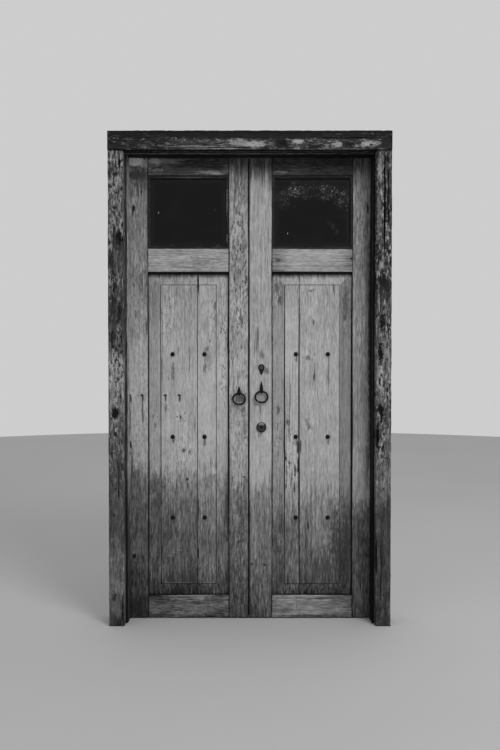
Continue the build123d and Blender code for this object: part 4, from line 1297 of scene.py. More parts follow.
@dataclass
class DoorLeaf:
    """One leaf: its timber, panel, nails, glazing and ring pull.

    Tones, stains, zones of worn paint and traits of the finish go by the name of the piece. lead is the
    slope of the meeting edge, and the bevels are the panel's. Each piece adds its own step to the seed.
    """

    side: str
    seed: float
    stile_tones: dict[str, Stops]
    rail_tones: dict[str, Stops]
    board_tones: dict[str, Stops]
    stains: dict[str, Stains] = field(default_factory=dict)
    zones: dict[str, Stains] = field(default_factory=dict)
    traits: dict[str, dict[str, float]] = field(default_factory=dict)
    lead: float = 0.0
    webs: Stains = ()
    glints: Stains = ()
    bevel: float = 0.058
    bevel_bottom: float = 0.051
    bead: float = 0.012
    bead_arris: float = 0.0006
    bead_wear: float = 0.0004
    plate_dents: Dents = Dents(120.0, 0.4, 0.0003)
    timber_step: float = 1.7
    first_rail: int = 3
    first_board: int = 7
    batten_step: float = 21.0
    bead_step: float = 25.0
    pane_step: float = 27.0
    nail_step: float = 31.0
    ring_step: float = 33.0
    plate_step: float = 35.0
    flap_step: float = 37.0
    screw_step: float = 39.0

    def build(self) -> None:
        """Builds every piece of the leaf."""
        self.panel = self._opening("bottom_rail", "middle_rail")
        self.window = self._opening("middle_rail", "top_rail")
        for index, (part, tones) in enumerate(self.stile_tones.items()):
            self._timber(part, tones, Grain.UPRIGHT, shown_box(self._node(part)), index)
        for index, (part, tones) in enumerate(self.rail_tones.items()):
            box = shown_box(self._node(part))
            face = Rectangle(self.panel.left, self.panel.right, box.bottom, box.top)
            self._timber(part, tones, Grain.LEVEL, face, index + self.first_rail)
        field_box = self.panel.shrunk(self.bevel, self.bevel, self.bevel_bottom, self.bevel)
        for index, (part, tones) in enumerate(self.board_tones.items()):
            box = shown_box(self._node(part))
            face = Rectangle(max(box.left, self.panel.left), min(box.right, self.panel.right),
                             self.panel.bottom, self.panel.top)
            self._timber(part, tones, Grain.UPRIGHT, face, index + self.first_board, field_box)
        self._battens()
        self._glazing()
        self._nails()
        self._hardware()

    def _node(self, part: str) -> str:
        """Full name of a node of this leaf."""
        return f"{self.side}_{part}"

    def _opening(self, below: str, above: str) -> Rectangle:
        """The opening between two rails."""
        stiles = [shown_box(self._node(part)) for part in ("hinge_stile", "lock_stile")]
        stiles.sort(key=lambda box: box.left)
        return Rectangle(stiles[0].right, stiles[1].left, shown_box(self._node(below)).top,
                         shown_box(self._node(above)).bottom)

    def _timber(self, part: str, tones: Stops, grain: Grain, face: Rectangle, index: int,
                field_box: Rectangle | None = None) -> None:
        """Builds one painted piece of joinery."""
        finish = PaintedTimber(self.seed + self.timber_step * index, grain, tones, face, field=field_box,
                               zones=self.zones.get(part, ()), stains=self.stains.get(part, ()),
                               **self.traits.get(part, {}))
        lead = self.lead if part == "lock_stile" else 0.0
        Joinery(self._node(part), finish, Slot.LEAF, grain, lead=lead).build()

    def _battens(self) -> None:
        """Builds the battens on the inside."""
        box = shown_box(self._node("battens"))
        finish = PaintedTimber(self.seed + self.batten_step, Grain.LEVEL, three_tones(box, 0.46, 0.52, 0.44),
                               box, flecks=0.5)
        Joinery(self._node("battens"), finish, Slot.BATTEN, Grain.LEVEL).build()

    def _glazing(self) -> None:
        """Builds the beads and the pane."""
        box = shown_box(self._node("glazing_beads"))
        beads = PaintedTimber(self.seed + self.bead_step, Grain.LEVEL, three_tones(box, 0.13, 0.11, 0.13),
                              self.window, flecks=0.4, drip=0.02, joint_dirt=0.6,
                              stains=self.stains.get("glazing_beads", ()))
        Joinery(self._node("glazing_beads"), beads, Slot.LEAF, Grain.LEVEL, self.bead_arris,
                self.bead_wear).build()
        bead = self.bead
        pane = DustyGlass(self.seed + self.pane_step, self.window.shrunk(bead, bead, bead, bead), self.webs,
                          self.glints)
        dress(self._node("glass_pane"), pane)

    def _nails(self) -> None:
        """Builds the domed nails: one column on each board."""
        low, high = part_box(self._node("panel_nails"))
        radius = DomedNails.head_radius
        DomedNails(self._node("panel_nails"), self.seed + self.nail_step,
                   columns=(low.x + radius, high.x - radius)).build()

    def _hardware(self) -> None:
        """Builds the ring pull, its plate and the hinge flaps, and gives the screws their finish."""
        RingPull(self._node("ring_pull"), self.seed + self.ring_step).build()
        plate = forged_iron(self.seed + self.plate_step, tone=0.10, rust=0.4)
        Ironwork(self._node("ring_plate"), plate, Slot.IRON, 0.0006, self.plate_dents).build()
        flaps = forged_iron(self.seed + self.flap_step, tone=0.16, rust=0.7)
        Ironwork(self._node("hinge_flaps"), flaps, Slot.IRON).build()
        dress(self._node("screws"), forged_iron(self.seed + self.screw_step, 0.2))


def dress(node: str, finish: Finish) -> None:
    """Gives a node of the frame its finish and leaves its shape alone."""
    made = frame["nodes"][node]
    material = finish.material(node)
    for slot in made.material_slots:
        slot.material = material
    LOG.info("%s: finish only", node)


@dataclass
class Surround:
    """The dark planks round the doorway, and the frame behind them."""

    left_post: SurroundPlank
    right_post: SurroundPlank
    head: SurroundPlank
    frame_tones: Stops
    head_tones: Stops
    post_worn: Stops = ((0.0, 0.0), (1.0, 0.05), (2.2, 0.0))
    head_worn: Stops = ((-0.63, 0.1), (0.0, 0.25), (0.63, 0.1))
    # Painted shadow under the surround's head, along the top of the frame head.
    head_joint_shadow: Stain = Stain(0, 2112.5, 800, 4, 0.05, 0.9, 0.3, 0.8)
    frame_pitch: float = 0.05

    def build(self) -> None:
        """Builds the planks, the frame, its nails and its screws."""
        for plank in (self.left_post, self.right_post, self.head):
            plank.build()
        # The posts' reveals carry painted shade: near black on the right, a darker front strip on the left.
        self._frame_post("frame_post_left", 61.0, recess_shade=0.0, front_shade=0.62)
        self._frame_post("frame_post_right", 62.0, recess_shade=0.88, front_shade=0.82)
        # The frame head's underside carries painted shade, and its joint stain a painted shadow.
        head = WeatheredTimber(65.0, Grain.LEVEL, self.head_tones, self.head_worn, shown_box("frame_head"),
                               pale=0.36, edge_darkening=0.0, recess_shade=0.7, stains=(self.head_joint_shadow,))
        Joinery("frame_head", head, Slot.FRAME, Grain.LEVEL, pitch=self.frame_pitch).build()
        dress("surround_nails", forged_iron(67.0, tone=0.13, rust=0.8))
        dress("frame_screws", forged_iron(68.0, 0.2))

    def _frame_post(self, node: str, seed: float, recess_shade: float, front_shade: float) -> None:
        """Builds a post of the frame. The light from the right shades each of them in its own way."""
        finish = WeatheredTimber(seed, Grain.UPRIGHT, self.frame_tones, self.post_worn, shown_box(node),
                                 0.30, edge_darkening=0.0, recess_shade=recess_shade, front_shade=front_shade)
        Joinery(node, finish, Slot.FRAME, Grain.UPRIGHT, pitch=self.frame_pitch).build()


@dataclass
class Ironmongery:
    """Hinges, bolts, locks and keepers. The places of the keyhole and the cylinder are in millimetres."""

    iron: tuple[str, ...] = ("frame_hinge_flaps_left", "frame_hinge_flaps_right", "hinge_pins_left",
                             "hinge_pins_right", "top_bolt_plate", "bottom_bolt_plate", "top_bolt_keeper")
    steel: tuple[str, ...] = ("top_bolt", "bottom_bolt", "lock_bolt", "latch_bolt", "latch_knob")
    japanned: tuple[str, ...] = ("lock_case", "latch_case", "lock_keeper", "latch_keeper")
    keyhole: tuple[float, float] = (53.0, 1154.0)
    cylinder: tuple[float, float] = (53.0, 880.0)
    iron_seed: float = 71.0
    steel_seed: float = 83.0
    japanned_seed: float = 91.0

    def build(self) -> None:
        """Builds every piece with its finish."""
        for index, node in enumerate(self.iron):
            Ironwork(node, forged_iron(self.iron_seed + index, 0.13), Slot.IRON).build()
        for index, node in enumerate(self.steel):
            Ironwork(node, rubbed_steel(self.steel_seed + index), Slot.STEEL).build()
        for index, node in enumerate(self.japanned):
            Ironwork(node, japanned_metal(self.japanned_seed + index), Slot.JAPANNED, 0.0006).build()
        self._keyhole_cover()
        self._cylinder()

    def _keyhole_cover(self) -> None:
        """Builds the swinging cover, rubbed round its rivet, and the rivet."""
        x, z = self.keyhole
        rubbed = Stain(x, z, 9.5, 9.5, 0.46, 0.95, 0.4, 0.5)
        Ironwork("keyhole_cover", forged_iron(79.0, 0.09, 0.4, (rubbed,)), Slot.IRON).build()
        Ironwork("keyhole_rivet", forged_iron(80.0, 0.20), Slot.IRON).build()

    def _cylinder(self) -> None:
        """Builds the lock cylinder: a collar with a dark rim of painted shade, its body and its plug."""
        x, z = self.cylinder
        # Painted shade at the rim of the collar and a painted highlight across its top.
        collar = (Stain(x, z, 19.5, 19.5, 0.26, 1, 0.1, 0.85),
                  Stain(x, z + 14, 15, 6.5, 0.78, 0.9, 0.5, 0.6))
        # A painted highlight across the top of the body and painted shade round the plug.
        body = (Stain(x, z + 11, 12, 4.5, 0.52, 0.85, 0.5, 0.4), Stain(x, z + 3, 8, 8, 0.05, 0.9, 0.5, 0.5))
        finishes = {"cylinder_collar": tarnished_brass(97.0, 0.09, collar),
                    "cylinder_body": tarnished_brass(98.0, 0.24, body),
                    "cylinder_plug": tarnished_brass(99.0, 0.12)}
        for node, finish in finishes.items():
            Ironwork(node, finish, Slot.BRASS).build()


@dataclass
class Studio:
    """Plain pale floor, soft light and the camera of the photograph."""

    camera_place: tuple[float, float, float] = (0.0008, -3.33, 1.18)
    camera_pitch: float = 1.05
    focal_length: float = 35.0
    sensor: float = 36.0
    floor_radius: float = 9.0
    floor_sides: int = 96
    floor_grey: float = 0.70
    floor_cloud: Layer = Layer(0.8, 0.8, 3.0, detail=3.0, tone=0.03)
    floor_sheen: Sheen = Sheen(0.8, specular=0.1)
    background_grey: float = 0.80
    world_light: float = 0.66
    key_place: tuple[float, float, float] = (2.4, -3.6, 4.6)
    key_target: tuple[float, float, float] = (0.0, 0.0, 1.1)
    key_size: float = 2.2
    key_power: float = 150.0

    def build(self) -> None:
        """Sets up floor, light, world and camera."""
        self._floor()
        self._world()
        self._key()
        self._camera()
        bpy.context.scene.view_settings.view_transform = "Standard"

    def _floor(self) -> None:
        """Makes the floor that the door stands on."""
        shape = bmesh.new()
        bmesh.ops.create_circle(shape, cap_ends=True, segments=self.floor_sides, radius=self.floor_radius)
        mesh = bpy.data.meshes.new("floor")
        shape.to_mesh(mesh)
        shape.free()
        made = bpy.data.objects.new("floor", mesh)
        bpy.context.scene.collection.objects.link(made)
        net = Net("floor")
        tone = self.floor_grey + net.noise(self.floor_cloud) * self.floor_cloud.tone
        mesh.materials.append(net.surface(tone, self.floor_sheen))

    def _world(self) -> None:
        """Lights the scene evenly. The camera, metal and glass see a pale background."""
        world = bpy.data.worlds.new("studio")
        world.use_nodes = True
        bpy.context.scene.world = world
        tree = Tree(world.node_tree)
        grey = self.background_grey ** DISPLAY_GAMMA
        light = tree.node("ShaderNodeBackground",
                          inputs={"Color": (1.0, 1.0, 1.0, 1.0), "Strength": self.world_light})
        shown = tree.node("ShaderNodeBackground", inputs={"Color": (grey, grey, grey, 1.0), "Strength": 1.0})
        path = tree.node("ShaderNodeLightPath").outputs
        seen, mirrored, refracted = (Signal(tree, path[f"Is {kind} Ray"])
                                     for kind in ("Camera", "Glossy", "Transmission"))
        mix = tree.node("ShaderNodeMixShader", inputs={0: seen.at_least(mirrored.at_least(refracted)),
                                                       1: light.outputs[0], 2: shown.outputs[0]})
        tree.node("ShaderNodeOutputWorld", inputs={"Surface": mix.outputs[0]})

    def _key(self) -> None:
        """Hangs the soft main lamp up on the right."""
        lamp = bpy.data.lights.new("key", "AREA")
        lamp.shape = "DISK"
        lamp.size = self.key_size
        lamp.energy = self.key_power
        made = bpy.data.objects.new("key", lamp)
        made.location = self.key_place
        way = Vector(self.key_target) - Vector(self.key_place)
        made.rotation_euler = way.to_track_quat("-Z", "Y").to_euler()
        bpy.context.scene.collection.objects.link(made)

    def _camera(self) -> None:
        """Puts the camera where the photograph was taken from."""
        lens = bpy.data.cameras.new("camera")
        lens.lens = self.focal_length
        lens.sensor_width = self.sensor
        made = bpy.data.objects.new("camera", lens)
        made.location = self.camera_place
        made.rotation_euler = (math.radians(90.0 - self.camera_pitch), 0.0, 0.0)
        bpy.context.scene.collection.objects.link(made)
        bpy.context.scene.camera = made


def tones(levels: dict[float, float]) -> Stops:
    """Stops of place and tone in rising order of place, from tones between 0 and 255."""
    return tuple(sorted((place, level / WHITE_LEVEL) for place, level in levels.items()))


def nail_rust(x: float, drops: Iterable[float]) -> Stains:
    """Rust round and below a column of nails.

    Args:
        x: Place of the column, in millimetres.
        drops: Length of the run below each nail, in millimetres.

    Returns:
        A halo and two runs for each nail.
    """
    marks: list[Stain] = []
    for row, drop in zip(NAIL_ROWS, drops):
        z = row / MILLIMETRE
        marks.append(Stain(x + 1, z - 4, 17, 20, 0.24, 0.35, 1.4, 0.3))
        marks.append(Stain(x + 3, z - drop / 2, 6, drop / 2, 0.30, 0.7, 2.4, 0.2))
        marks.append(Stain(x - 4, z - drop * 0.6, 4, drop / 3, 0.34, 0.5, 2.4, 0.2))
    return tuple(marks)


def screw_drip(x: float, z: float, drop: float) -> Stains:
    """An old screw mark with the run below it. Place and length are in millimetres."""
    return (Stain(x - 2, z, 10, 7, 0.14, 0.95, 0.9, 0.5), Stain(x, z - 14, 5.5, 20, 0.18, 0.85, 1.2, 0.5),
            Stain(x, z - drop / 2, 5.5, drop / 2, 0.28, 0.75, 2.2, 0.3))


def left_leaf() -> DoorLeaf:
    """The left leaf, darker towards its hinges and its foot."""
    stains = {
        "hinge_stile": (
            Stain(-520, 2088, 62, 26, 0.8, 1, 1.4, 0.6), Stain(-555.5, 753, 9, 12, 0.2, 0.75, 1.6, 0.4),
            Stain(-540, 775, 4, 35, 0.24, 0.65), Stain(-538, 690, 4, 55, 0.26, 0.55, 2.2),
            Stain(-477, 2078, 18, 26, 0.58, 0.9, 1.8, 0.5), Stain(-515, 2025, 60, 30, 0.17, 0.8, 1.8, 0.4),
            # Stain(-555, 1600) is painted shade down the stile's edge beside the frame.
            Stain(-555, 1600, 6, 620, 0.24, 0.25, 2, 0.2), Stain(-529, 1878, 8, 22, 0.07, 0.95, 1.2, 0.5),
            Stain(-533, 1858, 5, 20, 0.12, 0.8, 1.2, 0.4), Stain(-520, 1396, 4, 30, 0.28, 0.7, 1.8),
            Stain(-472, 1339, 6, 40, 0.24, 0.7, 2.2),
            *screw_drip(-548, 1026, 210), *screw_drip(-490, 1026, 155),
            Stain(-542, 1005, 3, 20, 0.14, 0.85, 1.6), Stain(-546, 800, 7, 24, 0.12, 0.85, 1.6, 0.4),
            Stain(-553, 760, 11, 14, 0.09, 0.9, 1.4, 0.5), Stain(-552, 770, 2.5, 2.5, 0.4, 0.8, 0.6, 0.4),
            Stain(-540, 700, 6, 100, 0.26), Stain(-530, 287, 9, 14, 0.07, 0.95, 1.2, 0.5),
            Stain(-536, 254, 10, 7, 0.36, 0.7, 1.2), Stain(-486, 270, 4, 22, 0.12, 0.75, 1.6, 0.4),
            Stain(-520, 50, 50, 60, 0.1, 0.5, 1.8, 0.2),
        ),
        "lock_stile": (
            # Stain(-5.6, 880) is painted shade in the gap between the leaves.
            Stain(-5.6, 880, 2.2, 950, 0.03, 0.9, 0, 0.8), Stain(-19, 1033, 4, 4, 0.1, 0.9, 0.2, 0.6),
            Stain(-24, 932, 7, 3.5, 0.18, 0.75, 1.2, 0.4), Stain(-22, 832, 6.5, 4.5, 0.18, 0.75, 1.2, 0.4),
            Stain(-23, 880, 12, 60, 0.42, 0.55, 1.6), Stain(-28, 652, 5, 5, 0.16, 0.85, 0.8, 0.5),
            Stain(-27, 600, 5, 50, 0.24, 0.6, 1.8), Stain(-20, 560, 12, 120, 0.3, 0.35, 2.4, 0.2),
            Stain(-16, 1524, 3, 16, 0.66, 0.7, 1, 0.4), Stain(-49, 1000, 36, 36, 0.44, 0.35, 1.8, 0.2),
            Stain(-45, 960, 30, 16, 0.42, 0.4, 2, 0.2), Stain(-49, 1010, 28, 22, 0.26, 0.6, 2.2),
            Stain(-35, 960, 16, 20, 0.34, 0.5, 2.2), Stain(-28, 1720, 20, 120, 0.3, 0.35, 2.6, 0.2),
            Stain(-60, 1560, 20, 120, 0.3, 0.3, 2.6, 0.2),
        ),
        "glazing_beads": (
            Stain(-104, 1900, 6, 100, 0.52, 0.7, 2.4, 0.2), Stain(-104, 1740, 6, 30, 0.46, 0.7, 2.4, 0.2),
            Stain(-280, 2018, 180, 3.5, 0.44, 0.6, 1.6),
        ),
        "top_rail": (
            Stain(-432, 2090, 40, 20, 0.6, 0.9, 2, 0.5), Stain(-370, 2092, 60, 14, 0.48, 0.7, 2.6),
            Stain(-180, 2041, 75, 11, 0.52, 0.75), Stain(-150, 2034, 40, 6, 0.62, 0.6, 1.6),
            Stain(-300, 2056, 140, 10, 0.28, 0.5, 2.4),
        ),
        "middle_rail": (
            Stain(-225, 1635, 110, 26, 0.42, 0.5, 3, 0.1), Stain(-150, 1648, 50, 22, 0.4, 0.4, 3, 0.1),
            Stain(-290, 1611, 90, 7, 0.38, 0.45, 2.4, 0.2),
        ),
        "bottom_rail": (
            Stain(-300, 66, 75, 20, 0.46, 0.5, 2.8, 0.2), Stain(-220, 40, 30, 30, 0.46, 0.5, 2.8, 0.2),
            Stain(-280, 105, 190, 3.5, 0.6, 0.75, 1.2, 0.4), Stain(-400, 15, 80, 10, 0.1, 0.5),
        ),
        "inner_board": (
            *nail_rust(-207.2, (30, 50, 110)),
            Stain(-197.5, 1238, 12, 16, 0.3, 0.6, 2.2), Stain(-157, 1435, 6, 24, 0.3, 0.7, 2, 0.4),
            Stain(-158, 1375, 4, 50, 0.36, 0.5, 2.2, 0.2), Stain(-182, 1273, 7, 12, 0.28, 0.6, 2.2),
            Stain(-197, 1345, 20, 60, 0.46, 0.45, 2.8, 0.1),
            Stain(-190, 1200, 30, 70, 0.42, 0.45, 2.8, 0.1), Stain(-101, 1280, 5, 75, 0.2, 0.55),
            # The two dark marks along the lock stile, at x -105 and -98, are joint dirt and painted shade.
            Stain(-105, 500, 16, 200, 0.24, 0.72, 1.8, 0.2),
            Stain(-98, 1050, 3.6, 800, 0.03, 0.95, 0.5, 0.6),
            Stain(-235.5, 1545, 3.4, 50, 0.03, 0.95, 0.4, 0.6),
            Stain(-236.2, 300, 3.4, 30, 0.03, 0.9, 0.4, 0.6),
            Stain(-233.5, 1530, 2.2, 60, 0.05, 0.85, 0.6, 0.6),
            Stain(-235, 505, 2.6, 60, 0.05, 0.85, 0.6, 0.6), Stain(-188, 630, 26, 60, 0.38, 0.45, 2.6, 0.2),
            Stain(-195, 164.5, 48, 1.8, 0.5, 0.6, 0.6, 0.5), Stain(-200, 200, 5, 100, 0.22, 0.5, 2.4, 0.2),
            Stain(-176, 180, 4, 90, 0.22, 0.5, 2.4, 0.2), Stain(-110, 210, 12, 80, 0.22, 0.5, 2.4, 0.2),
            Stain(-225, 300, 3, 120, 0.52, 0.5, 1.6),
        ),
        "outer_board": (
            *nail_rust(-353, (30, 40, 170)),
            *screw_drip(-385, 1026, 128), *screw_drip(-321, 1026, 30),
            Stain(-372, 1100, 4, 6, 0.32, 0.6, 1.4, 0.4), Stain(-406.8, 950, 2.8, 650, 0.1, 0.75, 0.6, 0.5),
            Stain(-463.2, 900, 3, 700, 0.08, 0.75, 0.6, 0.5), Stain(-332, 928, 6, 6, 0.28, 0.7, 1.8),
            Stain(-317, 928, 6, 12, 0.2, 0.8, 1.8, 0.4), Stain(-296, 945, 8, 6, 0.34),
            Stain(-441, 930, 8, 14, 0.3, 0.55, 2.4, 0.2), Stain(-432, 890, 14, 18, 0.34, 0.5, 2.4, 0.2),
            Stain(-303, 772, 11, 14, 0.22, 0.8, 2.6), Stain(-276, 768, 5, 18, 0.28, 0.7, 2.2),
            Stain(-283, 800, 4, 60, 0.38, 0.45, 2.2, 0.2), Stain(-286, 641, 8, 8, 0.12, 0.9, 1.2, 0.4),
            Stain(-285, 610, 5, 30, 0.2, 0.7, 1.6), Stain(-279, 665, 4, 30, 0.26, 0.5),
            Stain(-315, 512, 10, 60, 0.22, 0.5, 2.2, 0.2), Stain(-400, 1310, 4, 240, 0.34, 0.5, 2.4, 0.2),
            Stain(-292, 1445, 3, 18, 0.26, 0.7, 1, 0.4), Stain(-435, 620, 28, 70, 0.28, 0.55, 2.6, 0.2),
            Stain(-422, 500, 22, 150, 0.22, 0.45, 2.2, 0.2), Stain(-305, 190, 40, 60, 0.2, 0.45, 2.6, 0.2),
            Stain(-360, 178, 22, 24, 0.18, 0.6, 2.6), Stain(-265, 182, 14, 30, 0.18, 0.6, 2.6),
            Stain(-437, 320, 22, 70, 0.44, 0.7, 2.4, 0.2), Stain(-437, 1420, 24, 150, 0.34, 0.3, 2, 0.2),
            Stain(-320, 164.5, 85, 1.8, 0.46, 0.6, 0.6, 0.5), Stain(-325, 315, 24, 4, 0.52, 0.6, 1.6),
            Stain(-345, 305, 14, 3, 0.5, 0.5, 1.6), Stain(-367, 289, 22, 2.8, 0.5, 0.6, 1.4),
        ),
    }
    zones = {
        "hinge_stile": (
            Stain(-500, 1960, 60, 90, 0, 0.5, 1.6, 0.35), Stain(-500, 1550, 50, 140, 0, 0.35, 1.6, 0.35),
        ),
        "lock_stile": (
            Stain(-45, 1620, 45, 420, 0, 0.75, 1.6, 0.6), Stain(-45, 300, 45, 260, 0, 0.4, 1.6, 0.35),
        ),
        "top_rail": (Stain(-430, 2070, 100, 60, 0, 0.6, 1.6, 0.35),),
        "middle_rail": (Stain(-210, 1635, 120, 45, 0, 0.5, 1.6, 0.35),),
        "inner_board": (
            Stain(-175, 1380, 35, 120, 0, 0.5, 1.6, 0.35), Stain(-160, 620, 60, 120, 0, 0.45, 1.6, 0.35),
            Stain(-122, 1250, 35, 380, 0, 0.7, 1.6, 0.35),
        ),
        "outer_board": (
            Stain(-365, 1400, 50, 140, 0, 0.62, 1.6, 0.35), Stain(-392, 1310, 16, 100, 0, 0.7, 1.6, 0.35),
            Stain(-430, 900, 25, 70, 0, 0.6, 1.6, 0.35), Stain(-310, 930, 50, 50, 0, 0.5, 1.6, 0.35),
            Stain(-300, 760, 60, 100, 0, 0.55, 1.6, 0.35), Stain(-380, 620, 80, 90, 0, 0.55, 1.6, 0.35),
        ),
    }
    board = {"bevel_shade": 0.04, "dirt_reach": 0.0024, "top_shade": 0.93}
    traits = {
        "hinge_stile": {"flecks": 0.25, "clouds": 0.6, "drip": 0.13, "mottle": 0.18},
        "lock_stile": {"flecks": 0.3, "clouds": 0.5, "mottle": 0.26, "drip": 0.12},
        "top_rail": {"flecks": 0.4, "clouds": 0.9, "drip": 0.03},
        "middle_rail": {"flecks": 0.15, "cracks": 0.3, "drip": 0.02, "clouds": 0.45},
        "bottom_rail": {"flecks": 0.3, "clouds": 1.1, "drip": 0.03, "mottle": 0.30},
        "inner_board": {"flecks": 0.2, **board},
        "outer_board": {"flecks": 0.25, **board},
    }
    return DoorLeaf(
        "left", 1.0,
        # The dark tones at the tops of the stiles and along the top rail are partly painted shade under the
        # head.
        {"hinge_stile": tones({2.115: 100, 2.06: 88, 1.99: 84, 1.92: 122, 1.62: 112, 1.39: 136, 1.14: 162,
                               0.90: 164, 0.73: 144, 0.64: 94, 0.52: 86, 0.30: 82, 0.17: 66, 0.0: 44}),
         "lock_stile": tones({2.115: 64, 2.06: 70, 1.98: 104, 1.80: 128, 1.60: 124, 1.39: 138, 1.15: 148,
                              0.90: 146, 0.68: 142, 0.60: 116, 0.45: 102, 0.30: 92, 0.17: 74, 0.0: 70})},
        {"top_rail": tones({-0.465: 72, -0.38: 60, -0.28: 46, -0.095: 56}),
         "middle_rail": tones({-0.465: 140, -0.38: 144, -0.26: 140, -0.095: 144}),
         "bottom_rail": tones({-0.465: 68, -0.38: 80, -0.28: 88, -0.20: 84, -0.095: 78})},
        {"inner_board": tones({1.60: 152, 1.54: 154, 1.34: 154, 1.10: 171, 0.84: 168, 0.70: 158, 0.62: 132,
                               0.50: 117, 0.38: 100, 0.28: 110, 0.18: 82, 0.09: 56}),
         "outer_board": tones({1.60: 140, 1.54: 138, 1.34: 154, 1.10: 162, 0.84: 164, 0.71: 158, 0.63: 124,
                               0.50: 100, 0.38: 86, 0.26: 80, 0.18: 68, 0.09: 42})},
        stains, zones, traits, MEETING_SLOPE,
        # Painted highlights and reflections on the pane.
        glints=(Stain(-417.2, 1861, 2.8, 6, 0.66, 0.95, 0.1),
                Stain(-162, 1873, 1.8, 3.5, 0.36, 0.9, 0.1, 0.4),
                Stain(-355, 1712, 12, 6, 0.2, 0.8, 1, 0.2), Stain(-225, 1711, 10, 5, 0.2, 0.8, 1, 0.2),
                Stain(-145, 1713, 8, 7, 0.22, 0.8, 1, 0.2)),
    )


